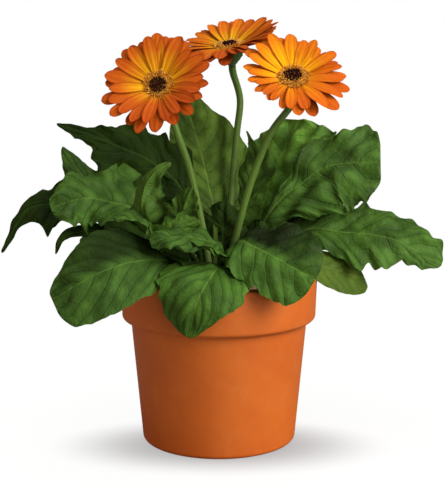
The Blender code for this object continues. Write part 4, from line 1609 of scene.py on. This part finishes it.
# dusk paints shade onto a leaf's halves; the finishes of most ages carry painted light or shade
LEAVES = (
    Leaf("front_left",
         ((-25, -12), (-37, -44, 156), (-65, -68, 161), (-94, -82, 153), (-125.5, -88, 135)),
         0.75, (3, 18, 31, 35, 36, 33, 24), (3, 18, 30, 34, 28, 18, 9),
         roll=(-38, -34), blunt=24, sweep=0.2, veins=7, slope=0.34, quilt=1.0, ruffle=0.8,
         lobe=0.02, crumple=0.5, ragged=0.02, age=Age.SHELTERED, painted_dusk=(0.0, 0.8), seed=1),
    Leaf("front",
         ((-4, -28), (2, -48, 154), (-6, -80, 151), (-16, -97, 135), (-22, -97, 108)),
         0.8, (3, 22, 30, 30, 24, 16, 8), (3, 34, 40, 38, 32, 26, 16),
         sweep=0.2, curl=(-14, -22), veins=6, slope=0.5, quilt=1.3, ruffle=1.0,
         lobe=0.025, crumple=0.5, ragged=0.02, age=Age.FRESH, seed=2),
    Leaf("front_right",
         ((19, -21), (14, -44, 172), (32, -66, 170), (52, -79, 161), (73, -86, 150)),
         0.85, (3, 14, 24, 31, 33, 29, 20), (4, 20, 27, 29, 28, 28, 25),
         roll=(4, 32), blunt=18, sweep=0.05, curl=(0, -14), veins=7, quilt=0.8,
         lobe=0.04, crumple=0.9, ragged=0.04, age=Age.FRESH, painted_dusk=(1.0, 0.08), seed=3),
    Leaf("right_low",
         ((28, -5), (63, -14, 155), (87, -8, 146), (107, -4, 139), (123, 0, 126)),
         0.8, (2, 9, 14, 16, 16, 12, 7), (2, 9, 15, 18, 19, 16, 10),
         roll=(50, 50), sweep=0.2, veins=7, quilt=0.3, ruffle=0.4, lobe=0.0,
         crumple=0.2, ragged=0.0, age=Age.OLIVE, seed=4),
    Leaf("right_long",
         ((17, -3), (68, 10, 172), (104, 12, 172), (145, 4, 167), (183, -6, 147)),
         0.8, (4, 16, 21, 23, 25, 24, 22, 22, 21, 14), (4, 16, 21, 25, 32, 29, 24, 16, 11, 7),
         roll=(52, 60), blunt=16, sweep=0.12, veins=9, quilt=0.5, ruffle=1.7,
         teeth=((-1, 0.44, 8, 0.04), (1, 0.4, 5, 0.05), (1, 0.52, -5, 0.05),
                (1, 0.64, 5, 0.06), (1, 0.76, -4, 0.05), (1, 0.9, 4, 0.05)),
         crumple=1.1, ragged=0.05, seed=5),
    Leaf("right_high",
         ((15, 8), (42, 18, 186), (72, 24, 214), (95, 24, 227), (134.5, 18, 230)),
         0.7, (2, 4, 8, 15, 25, 30, 33, 34), (4, 16, 30, 40, 42, 41, 36, 26),
         roll=(45, 55), blunt=20, sweep=0.1, quilt=0.4, ruffle=2.0, lobe=0.06,
         teeth=((-1, 0.7, -5, 0.06), (1, 0.84, -5, 0.06)),
         crumple=1.5, ragged=0.07, seed=6),
    Leaf("back_right",
         ((10, 13), (34, 44, 178), (44, 58, 208), (56, 70, 236), (70, 82, 262)),
         0.65, (3, 20, 32, 40, 44, 44, 38, 28), (3, 20, 34, 42, 46, 46, 48, 48),
         roll=(-6, -7), blunt=16, teeth=((1, 0.9, 9, 0.09),), quilt=0.4, ruffle=2.4,
         lobe=0.06, crumple=1.9, ragged=0.07, age=Age.YOUNG, seed=7),
    Leaf("back_mid",
         ((3, 11), (21, 28, 193), (26, 32, 214), (30, 36, 235), (23, 38, 255)),
         0.7, (2, 4, 8, 10, 14, 9, 3, 1), (2, 5, 12, 18, 23, 17, 5, 1),
         veins=6, quilt=0.8, lobe=0.06, seed=8),
    Leaf("back_tall",
         ((-4, 11), (-4, 34, 183), (-9, 45, 208), (-16, 54, 237), (-25, 60, 266),
          (-28, 62, 288)),
         0.95, (4, 16, 24, 28, 28, 24, 18, 12), (4, 32, 45, 47, 42, 34, 25, 14),
         veins=7, slope=0.3, ruffle=1.2, lobe=0.02, crumple=0.9,
         ragged=0.03, age=Age.DULL, seed=9),
    Leaf("left_high",
         ((-12, 12), (-28, 16, 202), (-56, 28, 229), (-85, 34, 242), (-112, 36, 253),
          (-137, 36, 261)),
         0.85, (4, 20, 34, 36, 32, 28, 22, 8, 6, 3), (4, 12, 24, 25, 24, 20.5, 12.5, 6, 3.5, 2),
         roll=(-60, -60), blunt=16, sweep=0.3, veins=9, quilt=0.9, ruffle=2.2, lobe=0.06,
         teeth=((-1, 0.7, -7, 0.07), (1, 0.2, 6, 0.05), (1, 0.34, -6, 0.09),
                (-1, 0.84, 4, 0.05)),
         crumple=1.0, ragged=0.1, age=Age.SHADED, seed=10),
    Leaf("left_up",
         ((-16, 6), (-75, 8, 196), (-99, 14, 207), (-116, 18, 222), (-130, 20, 243)),
         0.7, (2, 8, 16, 17, 14, 12, 6), (2, 8, 14, 16, 13, 9, 3),
         roll=(-50, -50), blunt=5, veins=7, ruffle=1.8, lobe=0.08, seed=11),
    Leaf("left_mid",
         ((-17, -3), (-64, -8, 189), (-86, -14, 200), (-108, -18, 204), (-135, -24, 197)),
         0.75, (2, 5, 9, 16, 22, 26, 22, 16), (3, 14, 34, 36, 24, 24, 20, 13),
         roll=(-55, -50), blunt=14, ruffle=2.6, lobe=0.06,
         crumple=1.8, ragged=0.08, seed=12),
    Leaf("left_far",
         ((-28, 5), (-100, 24, 193), (-132, 22, 195), (-158, 16, 192), (-171, 10, 174),
          (-181, 8, 155)),
         0.75, (2, 6, 10, 14, 20, 28, 18, 4, 4, 2), (2, 6, 14, 22, 19, 12, 7, 5, 3, 2),
         roll=(-55, -55), blunt=14, veins=9, ruffle=1.8, lobe=0.08, ragged=0.12,
         age=Age.SHADED, seed=13),
    Leaf("left_small",
         ((-27, -6), (-87, -12, 173), (-110, -20, 177), (-125, -26, 173), (-131, -28, 160)),
         0.75, (2, 4, 6, 4, 3, 2), (2, 4, 7, 6, 4, 2),
         roll=(-50, -50), blunt=12, veins=6, ruffle=0.8, age=Age.SHADED, seed=14),
    Leaf("centre_left",
         ((-12, -12), (-47, -34, 173), (-59, -46, 195), (-58, -46, 214), (-50, -44, 227),
          (-37, -40, 235)),
         0.8, (2, 14, 20, 20, 15, 8, 4), (2, 12, 16, 13, 9, 6, 3),
         roll=(25, 25), blunt=14, fold=(20, 30), veins=7, ruffle=2.4, lobe=0.08,
         crumple=2.0, ragged=0.1, painted_dusk=(0.3, 0.1), seed=15),
    Leaf("centre",
         ((-8, -15), (-25, -30, 169), (-29, -36, 186), (-27, -38, 200), (-21, -38, 215)),
         0.8, (2, 8, 11, 9, 12, 10, 6), (2, 9, 11, 8, 11, 9, 5),
         blunt=12, veins=6, ruffle=1.8, lobe=0.08, crumple=1.4, ragged=0.1,
         age=Age.SHELTERED, painted_dusk=(0.3, 0.1), seed=16),
    Leaf("centre_front",
         ((-1, -17), (4, -44, 165), (-11, -58, 176), (-31, -66, 180), (-53, -68, 176)),
         0.8, (2, 10, 15, 13, 12, 10, 7), (2, 8, 11, 11, 11, 9, 7),
         roll=(-30, -30), blunt=12, veins=7, ruffle=2.2, lobe=0.08, crumple=1.4,
         ragged=0.1, age=Age.SHELTERED, painted_dusk=(0.1, 0.2), seed=17),
    Leaf("right_inner",
         ((13, -11), (22, -19, 158), (38, -23, 168), (55, -22, 174), (70, -20, 176)),
         0.7, (2, 10, 17, 19, 17, 13, 8), (2, 8, 14, 15, 12, 9, 5),
         roll=(40, 40), blunt=12, veins=7, ruffle=1.8, lobe=0.07, crumple=1.4, ragged=0.1,
         age=Age.SHADED, seed=18),
    Leaf("rear_right",
         ((24, 14), (54, 38, 178), (86, 56, 178), (118, 72, 150)),
         0.7, (3, 18, 28, 32, 30, 24, 16), (3, 18, 28, 32, 30, 24, 16),
         **REAR, seed=19),
    Leaf("rear_mid_right",
         ((12, 25), (34, 66, 184), (48, 98, 184), (60, 134, 150)),
         0.7, (3, 18, 30, 34, 32, 26, 16), (3, 18, 30, 34, 30, 24, 14),
         **REAR, seed=20),
    Leaf("rear_mid_left",
         ((-7, 27), (-24, 62, 180), (-34, 96, 180), (-46, 132, 146)),
         0.25, (3, 20, 26, 28, 26, 20, 12), (3, 18, 30, 34, 32, 24, 16),
         **REAR, seed=21),
    Leaf("rear_left",
         ((-21, 19), (-56, 50, 172), (-90, 62, 176), (-122, 76, 152)),
         0.5, (3, 18, 28, 32, 30, 24, 16), (3, 14, 24, 28, 26, 20, 14),
         **REAR, seed=22),
    Leaf("inner_mid",
         ((0, 16), (2, 22, 150), (3, 26, 168), (4, 30, 184), (5, 32, 196)),
         0.4, (4, 18, 26, 26, 20, 12), (4, 18, 24, 22, 16, 8),
         **INNER, seed=23),
    Leaf("inner_right",
         ((16, 5), (24, 12, 150), (34, 17, 164), (46, 21, 174), (53, 23, 180)),
         0.5, (4, 14, 20, 20, 16, 10), (4, 12, 18, 18, 14, 9),
         roll=(20, 30), **INNER, seed=24),
    Leaf("inner_left",
         ((-15, 9), (-34, 8, 158), (-50, 8, 178), (-56, 8, 200), (-58, 8, 222)),
         0.5, (4, 18, 24, 26, 24, 16), (4, 24, 32, 36, 32, 20),
         roll=(-70, -70), **INNER, seed=25),
    Leaf("inner_low",
         ((-18, -7), (-40, -14, 156), (-64, -20, 170), (-92, -25, 182)),
         0.5, (4, 20, 30, 26, 18), (4, 22, 30, 26, 18),
         roll=(-45, -45), **INNER, seed=26),
    Leaf("inner_front",
         ((-5, -21), (-16, -34, 147), (-30, -45, 159), (-42, -53, 165)),
         0.4, (5, 22, 28, 26, 16), (5, 22, 28, 26, 16),
         roll=(-20, -20), **{**INNER, "veins": 5, "ruffle": 1.2, "crumple": 1.0}, seed=30),
    Leaf("curl_left",
         ((-14, -14), (-40, -40, 162), (-52, -50, 176), (-64, -54, 190), (-82, -56, 194)),
         1.2, (2, 7, 8, 8, 7, 4), (2, 10, 13, 13, 10, 5),
         roll=(-35, -45), blunt=10, fold=(15, 25), veins=6, ruffle=2.2, lobe=0.1,
         crumple=1.6, ragged=0.12, painted_dusk=(0.0, 0.3), solid=False, seed=27),
    Leaf("curl_mid",
         ((-9, -19), (-34, -44, 158), (-42, -52, 172), (-33, -54, 184), (-14, -54, 190)),
         1.2, (2, 9, 12, 11, 8, 4), (2, 9, 12, 11, 8, 4),
         roll=(20, 20), blunt=10, fold=(10, 10), veins=6, ruffle=2.0, lobe=0.1,
         crumple=1.6, ragged=0.12, age=Age.SHELTERED, solid=False, seed=28),
    Leaf("curl_front",
         ((3, -24), (9, -50, 150), (2, -58, 163), (-9, -64, 171), (-22, -66, 178)),
         1.0, (2, 6, 9, 9, 8, 5), (2, 6, 7, 7, 6, 4),
         roll=(-40, -40), blunt=10, fold=(10, 30), veins=6, lobe=0.1,
         crumple=1.2, ragged=0.1, age=Age.FRESH, solid=False, seed=29),
)
# GROWN is the plain finish and OLIVE the smooth olive leaf's own green. FRESH, YOUNG and DULL are
# lighter copies, partly those leaves' own paler green and partly painted light; SHELTERED and
# SHADED are darker copies, painted shade.
LEAF_SKINS = {
    Age.GROWN: LeafSkin("leaf blade, grown and waxy"),
    Age.FRESH: LeafSkin("leaf blade, fresh and waxy", deep="#2F4C1B", green="#426827",
                        light="#5D8A33", rib="#688E3C", gloss=0.1),
    Age.YOUNG: LeafSkin("leaf blade, young and light green", deep="#446A27",
                        green="#629436", light="#82B046", vein="#486E2D", rib="#80A849",
                        veining=0.4),
    Age.DULL: LeafSkin("leaf blade, older and dull", deep="#3B5618", green="#507226",
                       light="#708E36", rib="#74923F"),
    Age.SHELTERED: LeafSkin("leaf blade, sheltered and deep green", deep="#2A4318",
                            green="#3C5E26", light="#557C33", vein="#2B4419",
                            rib="#5A7C34", veining=0.6, gloss=0.07),
    Age.SHADED: LeafSkin("leaf blade, shaded and dull", deep="#1C2E0D", green="#223510",
                         light="#324C16", vein="#334F1B", rib="#42602A", gloss=0.07),
    Age.OLIVE: LeafSkin("leaf blade, olive and smooth", deep="#3E5818", green="#4E661F",
                        light="#597224", vein="#5C7228", rib="#647A30"),
}


@dataclass
class Foliage:
    """The rosette of leaves."""

    leaves: tuple = LEAVES

    def build(self) -> None:
        """Grow every leaf and dress it by its age, painted light or shade included."""
        finishes = {age: skin.material() for age, skin in LEAF_SKINS.items()}
        for leaf in self.leaves:
            item = piece("blade_" + leaf.name, leaf.mesh(), finishes[leaf.age])
            attach(item, "leaf", *(["leaf_" + leaf.name] if leaf.solid else []))


# ---- Flower heads ----


@dataclass(frozen=True)
class HeadLook:
    """How one flower head's petals are set: see the whorl's inputs of the same names.

    petals: how many the outer and the inner ring have.
    """

    rise: float
    lift: float
    swing: float
    skew: float
    weight: float
    petals: tuple
    skin: RaySkin
    seed: int


@dataclass(frozen=True)
class Pack:
    """Small parts packed on a head's eye, between two radii.

    kit: which parts and finish. lift: above the ring's base. lean: outwards at the inner and
    the outer radius, in radians. size: smallest and largest scale. salt: added to the seed.
    """

    name: str
    slot: str
    node: str
    kit: str
    count: int
    inner: float
    outer: float
    lift: float
    dome: float
    lean: tuple
    size: tuple
    salt: int


# floret tissue: dark at the root, coloured lobes, dusty with pollen
FLORET_SKINS = (
    AlongSkin("ring florets, golden and dusty", 0.7, gloss=0.12, root="#8A4816",
              body="#CC882A", tip="#EDB84E"),
    AlongSkin("anther threads, dark with pollen tips", 0.7, gloss=0.12, root="#6A2A12",
              body="#A0602A", tip="#F2D898"),
    AlongSkin("disc florets, maroon and velvety", 0.85, gloss=0.12, root="#140504",
              body="#260B08", tip="#3E1610"),
)
PACKS = (
    Pack("ring_florets", "floret", "florets", "floret", 420, 6.8, 13.2, 0.0, 0.9,
         (-0.3, 1.05), (0.5, 0.8), 0),
    Pack("ring_threads", "floret", "", "thread", 40, 6.6, 12.0, 0.0, 0.9,
         (-0.25, 0.7), (0.55, 0.9), 5),
    Pack("disc_florets", "disc", "disc", "disc", 100, 0.0, 6.6, 0.9, 0.5,
         (0.0, 0.3), (0.85, 1.15), 2),
)


class Trees:
    """The growth trees that the pieces share."""

    def __init__(self) -> None:
        """Build one of each."""
        self.whorl, self.spiral, self.scatter, self.sweep = (
            Whorl(), Spiral(), Scatter(), Sweep())


@dataclass(frozen=True)
class FlowerHead:
    """A flower head on its stalk: where it stands, the way it faces, and its make.

    side: where it stands on the plant, which names its pieces. scape: points of its stalk.
    facing and raised: its turn from the front and how far it looks up. neck: how far below
    the cup the stalk runs straight.
    """

    side: str
    scape: tuple
    centre: tuple
    facing: float
    raised: float
    radius: float
    look: HeadLook
    neck: float = 12.0

    ROOT_RADIUS = 6.5
    CALYX_DEPTH = 14.0
    STALK_GAP = 0.8
    RING_BASE = 2.8
    FULL_REACH = 42.0  # about how far from the axis a petal of size 1 ends
    # each ring of bracts: count, radius, height, rise, and smallest and largest scale
    BRACTS = ((15, 4.4, -12.2, 54, 0.8, 0.95), (17, 7.2, -9.2, 62, 0.9, 1.05),
              (21, 9.6, -5.6, 70, 0.75, 0.95))

    @property
    def name(self) -> str:
        """Start of the names of its pieces."""
        return self.side + "_flower"

    @property
    def frame(self) -> Matrix:
        """The matrix that stands the head's own +Z along the way it faces."""
        turn = Matrix.Rotation(math.radians(self.facing), 4, "Z")
        return (Matrix.Translation(Vector(self.centre) * MM) @ turn
                @ Matrix.Rotation(math.radians(90 - self.raised), 4, "X"))

    def fit(self, item: bpy.types.Object, slot: str, node: str = "") -> None:
        """Stand a piece in its place on the head.

        Args:
            item: The piece, made about the origin.
            slot: Its material slot.
            node: Last word of the solid that it stands for, if it does.
        """
        item.data.transform(self.frame)
        attach(item, slot, *([f"flower_{self.side}_{node}"] if node else []))

    def route(self) -> np.ndarray:
        """Lead the stalk up into the neck of the cup.

        Returns:
            Its points.
        """
        ends = [self.frame @ Vector((0, 0, -(self.CALYX_DEPTH + drop) * MM)) / MM
                for drop in (self.neck, self.STALK_GAP)]
        knots = self.scape + tuple(tuple(end) for end in ends)
        return through(knots, np.linspace(0, len(knots) - 1, 12 * (len(knots) - 1) + 1))

    def stalk(self, trees: Trees, hairs: bpy.types.Collection, skin: bpy.types.Material,
              down: bpy.types.Material) -> None:
        """Sweep the ribbed stalk and set its down.

        Args:
            trees: The growth trees.
            hairs: The hair that the down is made of.
            skin: Finish of the stalk.
            down: Finish of its hairs.
        """
        line = bpy.data.meshes.new("stalk_line")
        points = self.route() * MM
        line.from_pydata(points.tolist(), [(i, i + 1) for i in range(len(points) - 1)], [])
        item = trees.sweep.grow(self.name + "_scape", line, steps=70, foot=3.0 * MM,
                                waist=2.85 * MM, neck=3.1 * MM, ribs=9.0, rib_depth=0.035,
                                finish=skin)
        host = item.data.copy()
        attach(item, "stalk", f"flower_{self.side}_stalk")
        attach(trees.scatter.grow(
            self.name + "_scape_down", host, density=150000.0, wild=0.5, low_size=0.4,
            high_size=0.9, kinds=1, seed=self.look.seed, parts=hairs, finish=down), "stalk")

    def calyx(self, trees: Trees, bracts: bpy.types.Collection,
              skin: bpy.types.Material) -> None:
        """Turn the green cup and lap its bracts in three rings.

        Args:
            trees: The growth trees.
            bracts: The kinds of bract.
            skin: Finish of the cup and the bracts.
        """
        depth = self.CALYX_DEPTH
        cup = turned(self.name + "_cup", [
            (0.0, 0.0), (10.6, 0.0), (11.2, -1.2), (10.9, -3.6), (9.6, -6.6), (7.3, -9.6),
            (5.0, -11.8), (3.6, -13.2), (3.2, -depth), (0.0, -depth)], 64)
        set_attribute(cup, "along", np.full(len(cup.vertices), 0.2))
        set_attribute(cup, "across", [math.atan2(v.co.y, v.co.x) * 3 for v in cup.vertices])
        self.fit(piece(self.name + "_cup", cup, skin), "calyx", "calyx")
        for number, (count, radius, height, rise, low, high) in enumerate(self.BRACTS):
            self.fit(trees.whorl.grow(
                f"{self.name}_bracts_{number}", count=count, radius=radius * MM,
                height=height * MM, step=0.25 * MM, rise=math.radians(rise), step_rise=0.03,
                rise_spread=0.06, turn_spread=0.12, stagger=0.5 * number, low_size=low,
                high_size=high, kinds=len(bracts.objects), seed=self.look.seed + number,
                parts=bracts, finish=skin), "calyx")

    def rays(self, trees: Trees, petals: bpy.types.Collection) -> None:
        """Set the two rings of ray petals.

        Args:
            trees: The growth trees.
            petals: The kinds of petal, in order of droop.
        """
        look = self.look
        skin = look.skin.material()
        for layer, word in enumerate(("outer", "inner")):
            self.fit(trees.whorl.grow(
                f"{self.name}_rays_{word}", count=look.petals[layer],
                radius=self.ROOT_RADIUS * MM, height=(0.7 + 1.25 * layer) * MM,
                step=0.45 * MM, rise=math.radians(look.rise + 4.5 * layer),
                step_rise=math.radians(2.0), lift=math.radians(look.lift),
                swing=math.radians(look.swing), skew=look.skew,
                rise_spread=math.radians(3.0), turn_spread=0.16, stagger=0.5 * layer,
                low_size=(self.radius - 4.0 - 3.5 * layer) / self.FULL_REACH,
                high_size=(self.radius + 2.0 - 1.5 * layer) / self.FULL_REACH,
                kinds=len(petals.objects), weight=look.weight,
                seed=look.seed + 10 * layer, parts=petals, finish=skin),
                "petal", "petals_" + word)

    def eye(self, trees: Trees, kits: dict) -> None:
        """Pack the floret ring, its threads and the dark disc on their bed.

        Args:
            trees: The growth trees.
            kits: Parts and finish by kit name.
        """
        base = self.RING_BASE
        bed = noted(turned(self.name + "_floret_bed", [
            (0.0, base + 1.6), (5.0, base + 1.5), (9.0, base + 1.2), (12.2, base + 0.5),
            (13.0, base - 0.4), (12.6, base - 1.2), (0.0, base - 1.2)], 48))
        self.fit(piece(self.name + "_floret_bed", bed, kits["floret"][1]), "disc")
        for pack in PACKS:
            parts, finish = kits[pack.kit]
            self.fit(trees.spiral.grow(
                f"{self.name}_{pack.name}", count=pack.count, inner=pack.inner * MM,
                outer=pack.outer * MM, height=(base + pack.lift) * MM, dome=pack.dome * MM,
                lean_in=pack.lean[0], lean_out=pack.lean[1], low_size=pack.size[0],
                high_size=pack.size[1], kinds=len(parts.objects),
                seed=self.look.seed + pack.salt, parts=parts, finish=finish),
                pack.slot, pack.node)


HEADS = (
    FlowerHead("left",
               ((-6, -3, 132.4), (-12, -2, 170), (-18, -1, 200), (-25, -2, 230),
                (-34, -4, 256)),
               (-46.8, -22, 292.4), -13, 29, 43.8,
               # the left head's petals are darker and redder than the right head's: painted shade
               HeadLook(17, -4, 0, -0.07, 0.1, (18, 18), RaySkin(
                   "ray petal, deep orange satin", root="#E8AE12", body="#CA6617",
                   tip="#C2561A", edge="#9A360F", line="#AE4C0E", back="#A83410",
                   reach=0.5, turn=0.2), 31)),
    FlowerHead("right",
               ((7, -2, 132.4), (14, -3, 170), (22, -5, 202), (31, -6, 230), (42, -8, 256)),
               (59, -14, 298.5), -3, 48.5, 50.8,
               HeadLook(14, 5, -5, 0.3, 0.5, (17, 17), RaySkin(
                   "ray petal, bright orange satin", root="#EDB008", body="#DE8010",
                   tip="#D26618", edge="#AE4411", reach=0.48, turn=0.24), 47)),
    FlowerHead("back",
               ((5, 21, 133.2), (9, 36, 180), (12.5, 46, 220), (15.5, 57, 253),
                (18.2, 66, 280)),
               (9.5, 58, 322.8), -24, 72, 48,
               HeadLook(14, 2, 6, 0.0, 1.0, (20, 20), RaySkin(
                   "ray petal, amber satin", root="#DCAA12", body="#CE7418", tip="#BE561C",
                   edge="#A43C14", back="#B02E10"), 61), neck=7.0),
)


@dataclass
class Blooms:
    """The flower heads and the small parts they share."""

    heads: tuple = HEADS
    petal_kinds: int = 10

    def petals(self) -> list:
        """Ray petals in order of droop, each a little different."""
        return [Strap(35.0, 10.7 + 1.1 * math.sin(2.4 * k), root=0.48, widest=0.64,
                      droop=2.0 + 3.6 * k, hollow=(0.5, -0.3, 0.7, 0.1)[k % 4], groove=0.6,
                      twist=(-7, 5, 9, -4, 2)[k % 5], wave=0.22,
                      point=(4.4, 3.2, 5.6)[k % 3], thick=0.36, seed=k).mesh()
                for k in range(self.petal_kinds)]

    def bracts(self) -> list:
        """Three kinds of bract, longer and more drooping from one to the next."""
        return [Strap(9.0 + k, 3.4, root=0.75, widest=0.4, droop=-8 + 10 * k, hollow=-0.35,
                      point=1.25, rows=9, cols=7, seed=k).mesh() for k in range(3)]

    def florets(self) -> list:
        """Three kinds of strap shaped floret for the ring."""
        return [Strap(4.2 + 0.5 * k, 1.25, root=0.45, droop=45 + 30 * k, hollow=0.35,
                      twist=20 * (k - 1), point=2.0, thick=0.28, rows=7, cols=5,
                      seed=k).upright() for k in range(3)]

    def build(self, trees: Trees, down: bpy.types.Material) -> None:
        """Grow each head from stalk to disc.

        Args:
            trees: The growth trees.
            down: Finish of the stalks' hairs.
        """
        hair = Strap(0.9, 0.07, root=1.0, droop=30, point=1.2, thick=0.05, rows=3, cols=3)
        stalk_skin, bract_skin, floret, thread, disc = (skin.material() for skin in (
            SCAPE_SKIN, BractSkin(), *FLORET_SKINS))
        with (Parts(*self.petals()) as petals, Parts(*self.bracts()) as bracts,
              Parts(*self.florets()) as florets, Parts(stamen(0.24, 5.0)) as threads,
              Parts(bud(0.62, 2.6), bud(0.5, 3.1)) as buds,
              Parts(hair.upright()) as hairs):
            kits = {"floret": (florets, floret), "thread": (threads, thread),
                    "disc": (buds, disc)}
            for head in self.heads:
                head.stalk(trees, hairs, stalk_skin, down)
                head.calyx(trees, bracts, bract_skin)
                head.rays(trees, petals)
                head.eye(trees, kits)


# ---- Studio ----


@dataclass
class Studio:
    """Pale floor, soft lamps and the camera."""

    eye: tuple = (0.003, -0.950, 0.314)
    target: tuple = (0.003, 0.0, 0.159)
    lens: float = 83.9
    floor_size: float = 6.0
    # each lamp: name, place, aim, size, power, colour, and whether it spares the floor
    lamps: tuple = (
        ("key", (1.28, -0.88, 1.05), (0.0, 0.0, 0.18), 1.0, 39.0, "#FFF8EC", True),
        ("top", (0.0, -0.1, 1.6), (0.0, 0.0, 0.2), 1.2, 8.0, "#FFFFFF", False),
        ("front", (0.55, -1.5, 0.55), (0.0, 0.0, 0.18), 1.0, 7.0, "#FFF2E0", True),
        ("fill", (-1.4, -0.35, 0.45), (0.0, 0.0, 0.15), 1.2, 5.0, "#FFD8A8", True))

    def floor(self) -> bpy.types.Object:
        """Lay a floor that keeps the shadow near the pot, partly painted, and runs out to plain
        white.

        Returns:
            The floor.
        """
        half = self.floor_size / 2
        mesh = bpy.data.meshes.new("floor")
        mesh.from_pydata([(-half, -half, 0), (half, -half, 0), (half, half, 0),
                          (-half, half, 0)], [], [(0, 1, 2, 3)])
        made = bpy.data.materials.new("studio floor, matt white card")
        made.use_nodes = True
        tree = made.node_tree
        node = partial(add, tree)
        shader = tree.nodes["Principled BSDF"]
        for name, value in (("Base Color", "#E8E8E8"), ("Roughness", 0.9), ("IOR", 1.45)):
            feed(tree, shader.inputs[name], value)
        ray = node("ShaderNodeLightPath").outputs["Is Camera Ray"]
        spot = node(COORDS).outputs["Object"]
        far = node("ShaderNodeVectorMath", spot, operation="LENGTH").outputs["Value"]
        # painted shadow: the card's white glow is dimmed softly round the foot,
        # in an oval a little towards the viewer
        oval = node(MAPPING, spot, vector_type="TEXTURE", named={
            "Location": (0.0, -0.025, 0.0), "Scale": (0.148, 0.080, 1.0)})
        near = node("ShaderNodeVectorMath", oval, operation="LENGTH").outputs["Value"]
        white = node("ShaderNodeEmission", "#FFFFFF", node(SOFT, near, 0.3, 1.0, 0.47, 0.96))
        lit = node("ShaderNodeAddShader", node("ShaderNodeBsdfDiffuse", "#686868"), white)
        plain = node("ShaderNodeEmission", "#FFFFFF", 1.0)
        seen = node("ShaderNodeMixShader", node(SOFT, far, 0.16, 0.42), lit, plain)
        feed(tree, tree.nodes["Material Output"].inputs["Surface"],
             node("ShaderNodeMixShader", ray, shader, seen))
        card = piece("floor", mesh, made)
        return card

    def world(self) -> None:
        """An even white room: plain for the camera, softer and warmer as light."""
        world = bpy.data.worlds.new("studio")
        bpy.context.scene.world = world
        world.use_nodes = True
        tree = world.node_tree
        ray = add(tree, "ShaderNodeLightPath").outputs["Is Camera Ray"]
        back = tree.nodes["Background"].inputs
        feed(tree, back["Color"], add(tree, MIX, ray, "#FFE6C4", "#FFFFFF"))
        feed(tree, back["Strength"], add(tree, RANGE, ray, 0.0, 1.0, 0.12, 1.0))

    def stand(self, name: str, data: bpy.types.ID, spot: tuple,
              aim: tuple) -> bpy.types.Object:
        """Stand a lamp or the camera in its place.

        Args:
            name: Of the object.
            data: The lamp or camera.
            spot: Where it stands, in metres.
            aim: What it looks at.

        Returns:
            The object.
        """
        item = bpy.data.objects.new(name, data)
        item.location = spot
        way = Vector(aim) - Vector(spot)
        item.rotation_euler = way.to_track_quat("-Z", "Y").to_euler()
        bpy.context.scene.collection.objects.link(item)
        return item

    def build(self) -> None:
        """Set the floor, the room, the lamps and the camera, looking slightly down."""
        card = self.floor()
        self.world()
        for name, spot, aim, size, power, colour, spares_floor in self.lamps:
            data = bpy.data.lights.new(name, "AREA")
            data.size = size
            data.energy = power
            data.color = linear(colour)[:3]
            item = self.stand(name, data, spot, aim)
            if spares_floor:
                spared = bpy.data.collections.new(name + "_spares")
                spared.objects.link(card)
                spared.collection_objects[0].light_linking.link_state = "EXCLUDE"
                item.light_linking.receiver_collection = spared
        data = bpy.data.cameras.new("camera")
        data.lens = self.lens
        data.sensor_width = 36.0
        bpy.context.scene.camera = self.stand("camera", data, self.eye, self.target)
        bpy.context.scene.view_settings.view_transform = "Standard"


def main() -> None:
    """Build the plant piece by piece."""
    logging.basicConfig(level=logging.INFO, format="%(message)s")
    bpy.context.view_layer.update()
    Studio().build()
    trees = Trees()
    pot = Pot()
    pot.build(FiredTerracotta().material())
    GrowingMix(pot).build(PeatMix().material(), PERLITE.material(), trees.scatter)
    Crown().build(CROWN_FIBRE.material(), trees.scatter)
    Foliage().build()
    Blooms().build(trees, DOWN.material())


if __name__ == "__main__":
    main()
